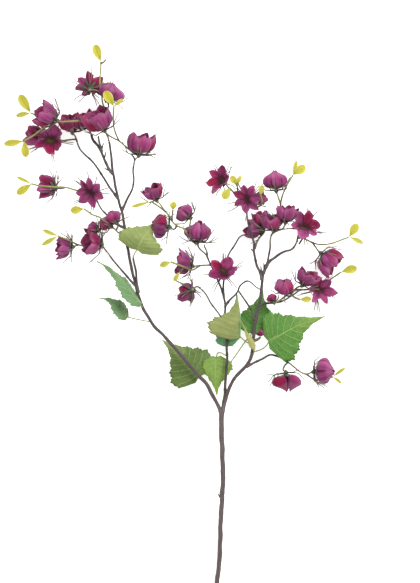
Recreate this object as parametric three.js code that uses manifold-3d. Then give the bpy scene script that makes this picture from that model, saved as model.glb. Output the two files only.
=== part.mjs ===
// A cut flowering spray with papery magenta lanterns, lying on a flat surface. Millimetres, +Z up.
// X runs across the spray, Y from the cut end to the top, Z from the surface up to the lanterns.
import * as THREE from "three";
import Module from "manifold-3d";

const wasm = await Module();
wasm.setup();

// Driving sizes, in millimetres
const SPRAY_LENGTH = 841.5; // from the cut end to the tip of the topmost leaflet
const GAP = 0.3; // room left between pieces that meet
const BLADE = 0.8; // thickness of a leaf or leaflet
const PETAL = 0.8; // thickness of a lantern's skin
const STALK_RADIUS = 1.0; // to the corners of its three sides
const STALK_SIDES = 3;
const PETIOLE_RADIUS = 1.0;
const PETIOLE_END = 0.12; // how far a leaf's stalk runs on along the first stretch of its rib
const CALYX_RADIUS = 3.3;
const CALYX_LENGTH = 6.5;
const THREAD_RADIUS = 0.6;
const THREAD_REACH = [5, 11]; // how far a thread stands out past the lantern
const LEAFLET_WIDTH = 11;
const LEAFLET_ROOT = 0.8; // how far a leaflet's base runs back along its stalk
const CLEAR_ABOVE = 2; // a thread stays this far above the surface

// The layout is drawn on the photograph: x to the right and y down in its pixels, then the height in mm.
const TOP_PX = 44;
const CUT_PX = 605;
const CENTRE_PX = { x: 182.5, y: (TOP_PX + CUT_PX) / 2 };
const MM_PER_PX = SPRAY_LENGTH / (CUT_PX - TOP_PX);

// Woody strands: the points each one runs through, and its radius at the start and at the end.
const WOOD = {
  trunk: {
    path: [[217, 605, 3.1], [217.3, 583, 4.5], [219.5, 560, 8], [220.5, 530, 13], [222, 500, 18],
      [223, 480, 22], [222.3, 450, 28], [221.5, 430, 31], [221.5, 412, 34]],
    radius: [3.1, 3.6], sides: 6, root: 1,
  },
  left_main: {
    path: [[221.5, 420, 32], [220.5, 411, 34], [215, 400, 35], [207, 385, 36], [195, 372, 37],
      [180, 354, 39], [166, 338, 41], [155, 327, 42], [144, 310, 44], [139, 297, 45], [135.5, 284, 46],
      [131, 266, 47], [128, 250, 48], [125.5, 238, 49], [125, 229, 50], [122, 212, 51], [118, 198, 52],
      [114, 178, 54], [112, 165, 55], [111, 152, 56], [109, 141, 57]],
    radius: [2.7, 1.5], sides: 5,
  },
  left_twin: {
    path: [[138.5, 293, 45.5], [137, 284, 47], [136, 272, 50], [134.3, 263, 54], [133.2, 258, 57]],
    radius: [1.7, 1.4], sides: 4,
  },
  left_low: {
    path: [[136, 286, 46], [130, 280, 44], [125, 274, 42], [118, 266, 42], [113, 260, 43], [107, 252, 44]],
    radius: [1.6, 1.1], sides: 4,
  },
  left_star: {
    path: [[124.7, 228, 50], [120, 226, 47], [116, 222, 45], [110, 218, 43], [106, 214, 42],
      [102, 210, 41], [98, 203, 40]],
    radius: [1.6, 1.1], sides: 4,
  },
  left_side: {
    path: [[121.5, 211, 51], [125, 204, 53], [128, 198, 54], [131, 192, 55], [133, 187, 55],
      [134, 180, 55], [133, 172, 55], [134, 165, 55], [135, 160, 55], [138, 157, 55.5]],
    radius: [1.7, 0.9], sides: 4,
  },
  left_side_fork: {
    path: [[135, 161, 55], [133.5, 157, 55], [131, 154, 54]],
    radius: [0.9, 0.8], sides: 4,
  },
  left_low_rise: {
    path: [[118.3, 199, 52], [113, 192, 50], [105, 180, 46], [98, 169, 42], [92, 161, 38],
      [85, 155, 34], [80, 149, 31], [77, 142, 29]],
    radius: [1.6, 1.1], sides: 4,
  },
  left_red: {
    path: [[113.2, 174, 54], [109, 169, 53], [105, 161, 51], [102, 153, 49], [98, 146, 47],
      [93, 140, 45], [91, 134, 43]],
    radius: [1.7, 1.9], sides: 5,
  },
  left_rod: {
    path: [[102, 152, 49], [99.5, 143, 51], [98.5, 136, 52]],
    radius: [1.6, 1.3], sides: 4,
  },
  middle_main: {
    path: [[222, 414, 33], [224, 400, 33], [225, 390, 33], [226, 375, 33], [227, 360, 33],
      [226.5, 340, 34], [225, 325, 35], [225, 304, 37], [222, 291, 40], [219, 283, 42], [216, 276, 43],
      [211, 265, 45], [206, 255, 46], [201, 250, 47], [198.5, 247, 49]],
    radius: [2.1, 1.1], sides: 5,
  },
  middle_rod: {
    path: [[207, 257, 46], [206.8, 252, 49], [205, 247, 51], [204, 244, 52]],
    radius: [1.1, 0.9], sides: 4,
  },
  middle_back: {
    path: [[224.8, 322, 35], [219, 314, 35], [215, 309, 35.5], [211, 303, 37], [208, 298, 41],
      [204, 292, 49], [200, 288, 57]],
    radius: [1.2, 0.9], sides: 4,
  },
  middle_cross: {
    path: [[225, 306, 37], [230, 300, 40], [235, 295, 43], [238, 291, 45], [240, 286, 47],
      [247, 281, 49], [252, 283, 50], [256, 287, 51], [261, 290, 50]],
    radius: [1.5, 0.8], sides: 4,
  },
  middle_right: {
    path: [[223.7, 298, 38], [223.5, 286, 39], [224.5, 271, 38], [227, 258, 40], [234, 246, 42],
      [241, 236, 40], [250, 234, 36]],
    radius: [1.4, 1.0], sides: 4,
  },
  right_main: {
    path: [[222, 413, 33], [225, 402, 34], [227, 395, 35], [230, 387, 37], [234, 379, 38],
      [240, 372, 39], [246, 366, 40], [250, 360, 41], [252, 352, 42], [253, 343, 43], [254, 333, 44],
      [256, 320, 46], [258, 310, 47], [260, 300, 49], [261.5, 288, 50], [262.5, 278, 51], [264, 270, 52]],
    radius: [2.5, 2.0], sides: 5,
  },
  right_star: {
    path: [[262, 280, 51], [260, 272, 52], [257, 266, 53], [255, 258, 54], [254, 250, 54],
      [254, 244, 54], [252, 237, 54], [250, 230, 54], [248, 222, 53], [247, 214, 51], [247, 208, 50]],
    radius: [1.9, 1.1], sides: 5,
  },
  right_inner: {
    path: [[254.7, 249, 54], [257, 242, 50], [259, 238, 44]],
    radius: [1.3, 1.1], sides: 4,
  },
  right_upper: {
    path: [[263.5, 274, 52], [266, 266, 54], [268, 260, 55], [269, 254, 55], [270, 247, 55],
      [270.3, 241, 54], [271, 236, 53]],
    radius: [1.7, 1.0], sides: 5,
  },
  right_outer: {
    path: [[265, 268, 52], [270, 261, 51], [274, 258, 50], [280, 254, 48], [286, 251, 46],
      [290, 250, 45], [294, 247, 44], [297, 242, 43]],
    radius: [2.1, 1.1], sides: 5,
  },
  right_low: {
    path: [[258.8, 306, 48], [264, 303.5, 47], [270, 303, 46], [280, 302, 44], [285, 300, 43],
      [289, 297, 42], [292, 293, 41]],
    radius: [1.5, 1.1], sides: 4,
  },
  right_low_fork: {
    path: [[289, 297, 42], [294, 294, 39], [299, 291, 35], [303, 290, 32]],
    radius: [1.0, 0.9], sides: 4,
  },
  right_cross: {
    path: [[255.7, 321, 46], [252, 312, 46], [248, 305, 46], [243, 297, 46], [238, 290.5, 45.5]],
    radius: [1.4, 1.2], sides: 4,
  },
  right_bottom: {
    path: [[246, 367, 40], [254, 363, 40], [262, 359, 39], [270, 355, 38], [279, 357, 38], [286, 361, 39]],
    radius: [1.7, 1.0], sides: 5,
  },
  right_bud: {
    path: [[253.5, 341, 43], [257.5, 339.5, 43.5], [260.75, 336.9, 44.4]],
    radius: [1.5, 1.3], sides: 4,
  },
};

// Short side shoots that end in a blunt tip
const STUBS = {
  stub_trunk: [[221.8, 501, 18], [218, 494, 21]],
  stub_collar: [[222.8, 480, 22], [225, 478, 24]],
  stub_fork: [[221.5, 423, 32], [218.6, 419.5, 34]],
  stub_knot: [[222, 444, 29], [219.2, 440, 31]],
  stub_rod: [[101.5, 151, 49], [103.5, 143, 52]],
  stub_red: [[104.3, 159, 50.5], [106, 152, 53]],
  stub_left: [[112.5, 172, 54.5], [104.5, 168.5, 55]],
  stub_right_a: [[262, 275, 51.5], [260.7, 266, 55]],
  stub_right_b: [[264, 271, 52], [263.8, 263, 56]],
  stub_star: [[254, 252, 54], [251, 249, 55]],
};

// Toothed leaves: the rib from base to tip, the half widths in mm, how far each half folds up out of the
// blade's plane in degrees, the roll of the whole blade about its rib, how far the right half's base hangs
// back, as a share of its width, and the stalk that holds it.
const LEAVES = {
  leaf_left_front: {
    rib: [[137, 250, 60], [141, 242, 68], [147, 232, 67], [154, 223, 54]],
    left: 32, right: 32, foldLeft: -8, foldRight: 6, roll: 0,
    petiole: [[133.2, 258, 57], [134.5, 254, 59.5]],
  },
  leaf_left_long: {
    rib: [[141, 304, 54], [132, 293, 59], [121, 279, 60], [109, 268, 56], [97, 261, 48]],
    left: 19, right: 22, foldLeft: 10, foldRight: 12, roll: 62,
    petiole: [[142.5, 307, 49], [141.5, 306, 51]],
  },
  leaf_left_small: {
    rib: [[127, 318, 46], [120, 307, 50], [111, 300, 48], [100, 298, 40]],
    left: 15, right: 15, foldLeft: 6, foldRight: 10, roll: 48,
    petiole: [[151.8, 322, 42.6], [138, 319.5, 44]],
  },
  leaf_left_under: {
    rib: [[199, 377, 27], [190, 367, 25], [177, 353, 24], [161, 339, 20]],
    left: 34, right: 33, foldLeft: 4, foldRight: 4, roll: 0,
    petiole: [[203.3, 381, 36.3], [202.5, 380, 31], [201, 378.5, 28]],
  },
  leaf_middle_hang: {
    rib: [[216, 357, 26], [215.5, 368, 26], [216, 382, 24], [217, 397, 18]],
    left: 24, right: 18, foldLeft: 8, foldRight: -4, roll: 0,
    petiole: [[226.9, 356, 33.2], [224, 354.5, 30], [221, 353, 28], [218, 353, 27]],
  },
  leaf_middle_fold: {
    rib: [[240, 338, 41], [240.5, 326, 44], [240, 312, 44], [237, 292, 40]],
    left: 45, right: 38, foldLeft: -4, foldRight: 154, roll: 0, hang: 0.9,
    petiole: [[251, 345, 44.5], [245, 341, 42]],
  },
  leaf_right_back: {
    rib: [[253, 333, 37], [255, 322, 35], [259, 306, 34], [263, 288, 30]],
    left: 26, right: 33, foldLeft: 8, foldRight: 2, roll: -4,
    petiole: [[226.8, 368, 33], [229.5, 364, 34.5], [236, 355, 37], [245, 342, 39], [250, 336, 39]],
  },
  leaf_right_front: {
    rib: [[268, 341, 50], [279, 335.5, 55], [299, 325, 57], [326, 316, 48]],
    left: 35, right: 39, foldLeft: 4, foldRight: 4, roll: 0,
    petiole: [[252, 352, 42], [260, 350, 45], [266, 346, 48]],
  },
  leaf_right_tan: {
    rib: [[254, 350, 48], [251, 342, 50], [246, 332, 50], [240.5, 319, 50]],
    left: 5, right: 5, foldLeft: 20, foldRight: 20, roll: 0,
    petiole: [[252.8, 355, 43.4], [254, 352, 46.5]],
  },
};

// Lanterns: the foot where the calyx holds it, the way it faces in the photograph's plane (degrees from
// the right, anticlockwise), how far it lifts out of that plane, the radius of its mouth and its depth in
// mm, how open it is (0 closed lantern, 1 cup, 2 star) and the number of lobes.
const LANTERNS = {
  lantern_top: { foot: [90, 89, 72], aim: 100, lift: -62, mouth: 14.5, depth: 18, open: 1.5, lobes: 6 },
  lantern_dome: { foot: [107, 99, 50], aim: 62, lift: 8, mouth: 20.5, depth: 25, open: 0.35, lobes: 6 },
  lantern_corner: { foot: [54.5, 120, 60], aim: 148, lift: 12, mouth: 15.5, depth: 25, open: 0.8, lobes: 5 },
  lantern_west: { foot: [51, 140, 30], aim: 160, lift: 76, mouth: 19, depth: 18, open: 1.45, lobes: 5 },
  lantern_far_west: { foot: [42, 137, 17], aim: 168, lift: -4, mouth: 14, depth: 23, open: 0.9, lobes: 5 },
  lantern_crimson: { foot: [72, 131, 34], aim: 97, lift: 22, mouth: 13.5, depth: 22, open: 0.9, lobes: 5 },
  lantern_narrow: { foot: [88, 127, 42], aim: 112, lift: 8, mouth: 12, depth: 22, open: 0.7, lobes: 5 },
  lantern_crown: { foot: [104, 130, 62], aim: 118, lift: 14, mouth: 17.5, depth: 28, open: 0.75, lobes: 5 },
  lantern_shoulder: { foot: [139, 154, 57], aim: 84, lift: 8, mouth: 18, depth: 27, open: 0.6, lobes: 5 },
  lantern_outer: { foot: [55, 188, 52], aim: 172, lift: -18, mouth: 15.5, depth: 20, open: 1.1, lobes: 6 },
  lantern_star: { foot: [91, 193, 44], aim: 180, lift: 78, mouth: 14.5, depth: 15, open: 2, lobes: 7 },
  lantern_pair_a: { foot: [110, 226, 51], aim: 150, lift: 10, mouth: 10.5, depth: 16, open: 0.25, lobes: 5 },
  lantern_pair_b: { foot: [116, 222, 55], aim: 118, lift: 12, mouth: 10.5, depth: 17, open: 0.25, lobes: 5 },
  lantern_small: { foot: [97, 229.5, 53], aim: 168, lift: 5, mouth: 9, depth: 13, open: 0.4, lobes: 5 },
  lantern_low: { foot: [100, 244, 50], aim: 174, lift: 16, mouth: 16, depth: 22, open: 1, lobes: 5 },
  lantern_side: { foot: [71, 247, 42], aim: 178, lift: 8, mouth: 13.5, depth: 19, open: 0.9, lobes: 5 },
  lantern_mid_a: { foot: [156, 199, 52], aim: 112, lift: 14, mouth: 12.5, depth: 20, open: 0.85, lobes: 5 },
  lantern_mid_b: { foot: [168, 227, 60], aim: 172, lift: 4, mouth: 15, depth: 22, open: 0.2, lobes: 5 },
  lantern_mid_c: { foot: [189, 217, 60], aim: 140, lift: 8, mouth: 12.5, depth: 19, open: 0.3, lobes: 5 },
  lantern_mid_d: { foot: [197.5, 241, 54], aim: 84, lift: 8, mouth: 18, depth: 25, open: 0.35, lobes: 5 },
  lantern_mid_e: { foot: [191, 266, 48], aim: 168, lift: 8, mouth: 13.5, depth: 21, open: 0.9, lobes: 5 },
  lantern_back: { foot: [191, 290, 60], aim: 200, lift: -52, mouth: 12, depth: 15, open: 1.2, lobes: 5 },
  lantern_eye: { foot: [224, 273, 48], aim: 105, lift: 66, mouth: 15.5, depth: 17, open: 1.45, lobes: 5 },
  lantern_north: { foot: [222.5, 181, 46], aim: 150, lift: 52, mouth: 15, depth: 17, open: 1.45, lobes: 5 },
  lantern_heart: { foot: [247, 200, 52], aim: 90, lift: 80, mouth: 15, depth: 15, open: 2, lobes: 7 },
  lantern_heart_small: { foot: [256, 200, 42], aim: 25, lift: 0, mouth: 8, depth: 14, open: 0.5, lobes: 5 },
  lantern_inner: { foot: [261, 231, 32], aim: 165, lift: 4, mouth: 13.5, depth: 22, open: 0.9, lobes: 5 },
  lantern_inner_top: { foot: [262, 225, 36], aim: 100, lift: 6, mouth: 9.5, depth: 18, open: 0.7, lobes: 5 },
  lantern_bowl: { foot: [273, 229, 50], aim: 94, lift: 18, mouth: 13.5, depth: 19, open: 0.8, lobes: 5 },
  lantern_closed: { foot: [276, 189.5, 56], aim: 94, lift: 4, mouth: 15.5, depth: 26, open: 0, lobes: 5 },
  lantern_pale: { foot: [285.5, 221, 57], aim: 84, lift: 8, mouth: 14.5, depth: 20, open: 0.8, lobes: 5 },
  lantern_east: { foot: [304, 227.5, 48], aim: 60, lift: 64, mouth: 17, depth: 17, open: 1.5, lobes: 6 },
  lantern_far_east: { foot: [322, 254, 18], aim: -42, lift: 2, mouth: 16.5, depth: 26, open: 0.6, lobes: 5 },
  lantern_south: { foot: [303, 284, 47], aim: 62, lift: 14, mouth: 13.5, depth: 19, open: 0.9, lobes: 5 },
  lantern_slit: { foot: [318.5, 290, 34], aim: 0, lift: 62, mouth: 16, depth: 17, open: 1.6, lobes: 6 },
  lantern_round: { foot: [284, 291, 52], aim: 92, lift: 40, mouth: 12.5, depth: 18, open: 0.6, lobes: 5 },
  lantern_bud: { foot: [273, 301, 56], aim: 112, lift: 8, mouth: 6, depth: 10, open: 0.3, lobes: 5 },
  lantern_bud_low: { foot: [261, 336.4, 44.5], aim: 98, lift: 6, mouth: 4.6, depth: 9, open: 0.2, lobes: 5 },
  lantern_hanging: { foot: [286, 374, 42], aim: -84, lift: 6, mouth: 18.5, depth: 25, open: 0.25, lobes: 4 },
  lantern_last: { foot: [315, 372, 38], aim: 2, lift: 8, mouth: 16.5, depth: 26, open: 0.4, lobes: 5 },
};

// Neighbours whose skins touch are one piece.
const JOINED = [
  ["lantern_crimson", "lantern_narrow"],
  ["lantern_pair_b", "lantern_pair_a"],
  ["lantern_low", "lantern_small"],
  ["lantern_inner", "lantern_inner_top"],
  ["lantern_bowl", "lantern_pale"],
  ["lantern_slit", "lantern_south"],
];

// Green sprays: thin stalks, the lanterns whose calyces they carry, and leaflets from base to tip with
// their width as a share of the usual one.
const SPRAYS = {
  spray_top: {
    stalks: [
      [[109, 141, 57], [107, 134, 58], [105.5, 131.5, 60]],
      [[106.5, 134, 58], [113, 138, 57], [119, 141, 56], [125, 146, 52], [132, 152, 50], [138, 155, 54]],
      [[119, 141, 56], [116, 134, 60], [114, 127, 66], [113.6, 117, 74], [114.2, 107, 82]],
      [[105.5, 132, 58], [108, 122, 52], [107, 112, 58], [103, 104, 66], [102, 97, 70], [100.3, 88, 70],
        [100, 80, 70], [101, 70, 70], [101, 62, 70]],
      [[106.5, 111, 59], [108.5, 107, 54], [108, 103, 49], [105.8, 100.4, 49]],
      [[101.5, 94, 70], [97, 91, 73], [92.5, 88.5, 76]],
      [[101, 64, 70], [104, 62.5, 71], [106, 60, 72]],
    ],
    lanterns: ["lantern_crown", "lantern_dome", "lantern_top", "lantern_shoulder"],
    leaflets: [
      { from: [101, 62, 70], to: [95, 45, 72], width: 1 },
      { from: [114.2, 107, 82], to: [105, 92, 88], width: 1 },
      { from: [114.2, 107, 82], to: [123, 100, 84], width: 0.45 },
    ],
  },
  spray_corner: {
    stalks: [
      [[91, 134, 43], [89.5, 130, 42.5]],
      [[88.5, 129, 43], [86, 124, 54], [82, 121.5, 63], [72, 121.5, 66], [62, 122, 64], [57, 122, 61]],
      [[57, 122.5, 61], [50, 124, 46], [42, 119, 42], [35, 115, 46], [31, 113, 48]],
      [[57, 122.5, 61], [50, 126, 60], [43, 129, 58], [33, 136, 54], [24, 141, 50]],
    ],
    lanterns: ["lantern_narrow", "lantern_corner"],
    leaflets: [
      { from: [31, 113, 48], to: [19.5, 95, 52], width: 1.1 },
      { from: [31, 113, 48], to: [16, 116, 46], width: 0.6 },
      { from: [24, 141, 50], to: [4, 144, 48], width: 0.8 },
      { from: [24, 141, 50], to: [26, 157, 47], width: 0.9 },
    ],
  },
  spray_west: {
    stalks: [
      [[77, 142, 29], [75, 136, 30], [73, 133, 32]],
      [[76, 139, 29.3], [70, 139.5, 26], [62, 140.5, 24], [55, 141, 25], [54, 140.6, 27]],
      [[62, 140.5, 24], [52, 139, 17], [46, 137.5, 14.8]],
    ],
    lanterns: ["lantern_crimson", "lantern_west", "lantern_far_west"],
    leaflets: [],
  },
  spray_star: {
    stalks: [
      [[98, 203, 40], [96, 199, 38.5], [92, 195, 39], [91.1, 193.4, 41]],
      [[93, 196, 38.8], [84, 192, 40], [75, 190, 46], [66, 187.5, 60], [52, 187, 70], [40, 186, 66],
        [32, 184, 60]],
      [[66, 187.5, 60], [61, 188.5, 58], [57, 188.2, 54]],
    ],
    lanterns: ["lantern_star", "lantern_outer"],
    leaflets: [
      { from: [32, 184, 60], to: [17, 177, 62], width: 0.4 },
      { from: [32, 184, 60], to: [17, 194, 58], width: 0.9 },
    ],
  },
  spray_pair: {
    stalks: [
      [[125.3, 235.5, 49.3], [119, 233, 54], [114, 228.5, 54], [112, 226, 52.5]],
      [[116, 230.5, 54], [118, 226, 54.5], [117.2, 223.6, 54.8]],
      [[112.5, 226.7, 53], [106, 222, 66], [99, 217, 68], [93, 215, 66], [88, 211.5, 64], [84, 209, 63]],
    ],
    lanterns: ["lantern_pair_a", "lantern_pair_b"],
    leaflets: [
      { from: [84, 209, 63], to: [71, 211, 64], width: 0.9 },
    ],
  },
  spray_low: {
    stalks: [
      [[107, 252, 44], [104, 248, 45.5], [101.5, 244.8, 49]],
      [[103, 247, 46], [102.5, 240, 44], [101.5, 234, 48], [98.5, 230, 52.5]],
      [[103, 247, 46], [94, 250, 34], [86, 247, 34], [78, 245, 38], [73, 246.5, 41]],
      [[78, 245, 38], [68, 240, 56], [58, 236, 54]],
    ],
    lanterns: ["lantern_low", "lantern_small", "lantern_side"],
    leaflets: [
      { from: [58, 236, 54], to: [43, 230, 56], width: 0.5 },
      { from: [58, 236, 54], to: [42, 245, 52], width: 0.55 },
    ],
  },
  spray_middle: {
    stalks: [
      [[198.5, 247, 49], [197.6, 243.5, 52]],
      [[197.9, 245, 51], [193, 242, 58], [187, 233, 66], [183, 228.5, 66], [177, 226, 65], [172, 221, 61],
        [169, 216, 58.5], [165, 211, 57], [160, 204, 55], [156.8, 200.5, 53]],
      [[187, 233, 66], [189.8, 226, 64], [189.9, 219, 61]],
      [[177, 226, 65], [174, 229.5, 63], [169.6, 227.6, 60.5]],
      [[166, 212, 57.3], [158, 206, 60], [151, 201.5, 60]],
      [[172, 221, 61], [172.5, 214, 62], [173, 210, 62]],
    ],
    lanterns: ["lantern_mid_a", "lantern_mid_b", "lantern_mid_c", "lantern_mid_d"],
    leaflets: [
      { from: [151, 201.5, 60], to: [132, 207, 62], width: 0.4 },
      { from: [173, 210, 62], to: [174, 202, 64], width: 0.8 },
    ],
  },
  spray_middle_low: {
    stalks: [
      [[211, 265, 45], [200, 265.5, 47], [193.5, 266, 48]],
      [[200, 265.5, 47], [192, 270, 60], [184, 267, 66], [171, 262, 68]],
      [[184, 267, 66], [182, 270, 66], [180, 272, 66]],
    ],
    lanterns: ["lantern_mid_e"],
    leaflets: [
      { from: [171, 262, 68], to: [160, 266, 68], width: 0.7 },
      { from: [180, 272, 66], to: [174, 281, 66], width: 0.5 },
    ],
  },
  spray_back: {
    stalks: [[[200, 288, 57], [197, 286.5, 61], [193.5, 288.5, 63], [191.5, 289.8, 62]]],
    lanterns: ["lantern_back"],
    leaflets: [],
  },
  spray_eye: {
    stalks: [[[224.1, 277.5, 38.4], [222.6, 275, 42], [222, 273.5, 45]]],
    lanterns: ["lantern_eye"],
    leaflets: [],
  },
  spray_heart: {
    stalks: [
      [[247, 208, 50], [247, 203, 47], [247, 200.6, 48.5]],
      [[247, 203.5, 47.4], [242, 198, 44], [237, 195, 40], [230, 189, 40], [224, 183.5, 43]],
      [[247, 203.5, 47.4], [252, 202, 42], [254.5, 200.8, 41.8]],
      [[237, 195, 40], [233, 192, 52], [230, 188, 62]],
      [[237, 195, 40], [237.5, 190, 48], [237, 185, 54]],
      [[250, 202.5, 43.5], [254, 206.5, 46], [260, 206, 54], [262, 201, 64], [260.5, 195, 70]],
    ],
    lanterns: ["lantern_heart", "lantern_north", "lantern_heart_small"],
    leaflets: [
      { from: [230, 188, 62], to: [223.5, 199, 66], width: 1 },
      { from: [237, 185, 54], to: [231, 176, 57], width: 0.8 },
      { from: [237, 185, 54], to: [241, 176, 55], width: 0.5 },
      { from: [260.5, 195, 70], to: [262, 185.5, 72], width: 0.7 },
    ],
  },
  spray_inner: {
    stalks: [
      [[259, 238, 44], [262, 235, 36], [264, 232, 32.5], [262.8, 231.4, 32]],
      [[264, 232, 32.5], [264.5, 229, 34], [262, 226.5, 36]],
    ],
    lanterns: ["lantern_inner", "lantern_inner_top"],
    leaflets: [],
  },
  spray_upper: {
    stalks: [
      [[271, 236, 53], [273, 232, 51], [273.1, 230, 50.5]],
      [[272.2, 233.3, 51.6], [277, 231, 52], [283, 228.5, 55], [285.4, 223, 57]],
      [[277, 231, 52], [279, 226, 42], [280, 220, 37], [280.5, 212, 39], [280.5, 205, 45], [278.5, 198, 53],
        [276.3, 191, 56]],
      [[280.5, 205, 45], [281.5, 199, 51], [283, 194, 56], [286, 187, 58], [290, 180, 60], [293, 175, 61]],
    ],
    lanterns: ["lantern_bowl", "lantern_pale", "lantern_closed"],
    leaflets: [
      { from: [293, 175, 61], to: [296.5, 161, 63], width: 0.5 },
      { from: [293, 175, 61], to: [305, 166, 62], width: 1 },
    ],
  },
  spray_east: {
    stalks: [
      [[297, 242, 43], [298, 236, 42], [301, 230, 42], [304, 226.6, 44]],
      [[297.9, 238, 42.2], [303, 238, 42], [308, 240.5, 43], [313, 243, 44]],
      [[311.5, 242.2, 43.7], [318, 244.3, 46], [325, 244.5, 49], [333, 243, 52], [341, 240, 54],
        [349, 237, 55]],
      [[312.4, 242.7, 43.9], [316, 247.5, 38], [319, 251.5, 25], [321.2, 254, 15]],
      [[303, 238, 42], [301, 241, 43], [299, 244, 45]],
    ],
    lanterns: ["lantern_east", "lantern_far_east"],
    leaflets: [
      { from: [349, 237, 55], to: [357.5, 224, 57], width: 1 },
      { from: [349, 237, 55], to: [363, 243.5, 55], width: 0.55 },
    ],
  },
  spray_south: {
    stalks: [
      [[292, 293, 41], [297, 287.5, 42], [301.5, 285, 45.5]],
      [[303.8, 289.8, 31.4], [309, 289.5, 29], [315, 290, 29], [316.8, 290, 31]],
      [[295, 289.4, 42], [301, 289.6, 35], [307, 289.5, 29.6]],
      [[294, 290.5, 41.6], [290, 293, 47], [286, 293, 49], [284.2, 291.5, 50]],
      [[290, 293, 47], [283, 298, 54], [277, 302, 56], [273.8, 302, 56]],
      [[315, 290, 29], [322, 285, 26], [331, 279, 30], [337, 275, 41], [341, 272, 50]],
      [[290, 293, 47], [294, 297, 50], [300, 299.5, 52]],
    ],
    lanterns: ["lantern_south", "lantern_slit", "lantern_round", "lantern_bud"],
    leaflets: [
      { from: [300, 299.5, 52], to: [311, 299, 53], width: 0.7 },
      { from: [341, 272, 50], to: [357, 268, 53], width: 1 },
    ],
  },
  spray_bottom: {
    stalks: [
      [[286, 361, 39], [289, 363, 39.5], [293, 366, 39], [299, 371, 38], [306, 374, 37],
        [312.5, 372.6, 37.5]],
      [[288, 362.2, 39.3], [284.5, 366, 42], [283.2, 370, 43], [284.6, 373.5, 42.6]],
      [[306, 374, 37], [316, 380, 28], [326, 379, 26], [333, 377, 28]],
    ],
    lanterns: ["lantern_hanging", "lantern_last"],
    leaflets: [
      { from: [333, 377, 28], to: [345.5, 368, 30], width: 0.4 },
      { from: [333, 377, 28], to: [341.5, 383.5, 28], width: 0.35 },
    ],
  },
};

// Shapes shared by many pieces: shares of the mouth radius and of the depth, from foot to lobe tip
const CLOSED_PROFILE = [[0, 0], [0.84, 0.24], [1.0, 0.66], [0.32, 1.0]];
const CUP_PROFILE = [[0, 0], [0.74, 0.2], [1.0, 0.62], [1.1, 1.0]];
const STAR_PROFILE = [[0, 0], [0.6, 0.34], [0.98, 0.66], [1.36, 0.8]];
const RIB_AT = 0.66; // the place of a profile's widest part
const NECK_AT = 0.33; // the place where the skin has left its foot
const CREASE = 0.1; // how far the skin stands out along a lobe's rib and dips between two, as a share
const NOTCH = { closed: 0.82, cup: 0.78, star: 0.86 }; // how far up the skin two lobes stay joined
const SHUT = 0.6; // a lantern less open than this has one more ring, because it turns in again
const STAR = 1.5; // a lantern that is as open as this has pointed lobes
const RINGS = { shut: [0.36, 0.7, 1], open: [0.42, 1] }; // where the skin's rings lie from foot to rim
// A lobe from one notch to the next: places round it, how far up each reaches, and how far it stands out
const ROUND_LOBE = { at: [0, 0.28, 0.5, 0.72], up: [0, 0.86, 1, 0.86], out: [-1, 0.4, 1, 0.4] };
const PLAIN_LOBE = { at: [0, 0.35, 0.65], up: [0, 1, 1], out: [-1, 0.8, 0.8] };
const POINTED_LOBE = { at: [0, 0.5], up: [0, 1], out: [-1, 1] };
const LOBE_ROOM = [0.72, 1.3]; // the share of the turn that a lobe takes, before they are made to fit
const LOBE_REACH = [0.88, 1.14]; // the length of a lobe
const LOBE_FOLD = [0.74, 1.12]; // how far a lobe's end leans in or out
const SMALL_MOUTH = 13.6; // a lantern with a smaller mouth is made plainer
const THIN_EDGE = 1e-9; // a length that only gives a direction
// A leaf's half width at even steps along its rib, as shares of the widest
const LEAF_HALF = [0.3, 0.88, 1.0, 0.95, 0.8, 0.64, 0.46, 0.3, 0.16, 0.07, 0];
const TEETH = 6; // on each side
const TOOTH = { out: 0.09, ahead: 0.4 }; // as shares of the half width and of the room for one tooth
const SWEEP = { base: -0.3, tip: 0.3 }; // how far the margin lies behind or ahead of its place on the rib
// A leaflet's rows: the place between base and tip, and the half width there as a share of the widest
const LEAFLET_ROWS = [[0, 0], [0.3, 0.56], [0.62, 1], [0.88, 0.74], [1, 0]];
const ARCH = 1.6; // a leaflet's bend along its length, in mm
const GUTTER = 0.25; // how far a leaflet's margins rise, as a share of its half width

const COLOURS = {
  wood: 0x574a4a, leaf: 0x6f9a4a, lantern: 0x8c2c68, spray: 0x8a8f5c,
};
const ROUGHNESS = 0.8;

const STRAIGHT = 0.8; // a point of a strand nearer than this to a straight run is left out
const ROOT_SHARE = 0.6; // a strand's radius where it leaves another, as a share of its own
const STUB_RADIUS = [1.3, 0.8];

const rad = THREE.MathUtils.degToRad;
const mix = (a, b, share) => a + (b - a) * share;
const at = ([x, y, z]) =>
  new THREE.Vector3((x - CENTRE_PX.x) * MM_PER_PX, (CENTRE_PX.y - y) * MM_PER_PX, z);

// A small seeded generator, so that every build draws the same numbers
function seeded(seed) {
  let state = seed >>> 0;
  return (low, high) => {
    state = (state + 0x6d2b79f5) >>> 0;
    let t = Math.imul(state ^ (state >>> 15), 1 | state);
    t = (t + Math.imul(t ^ (t >>> 7), 61 | t)) ^ t;
    return low + ((high - low) * ((t ^ (t >>> 14)) >>> 0)) / 4294967296;
  };
}

function solid(points, triangles) {
  const vertProperties = new Float32Array(points.flatMap((p) => [p.x, p.y, p.z]));
  const triVerts = new Uint32Array(triangles.flat());
  return new wasm.Manifold(new wasm.Mesh({ numProp: 3, vertProperties, triVerts }));
}

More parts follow.
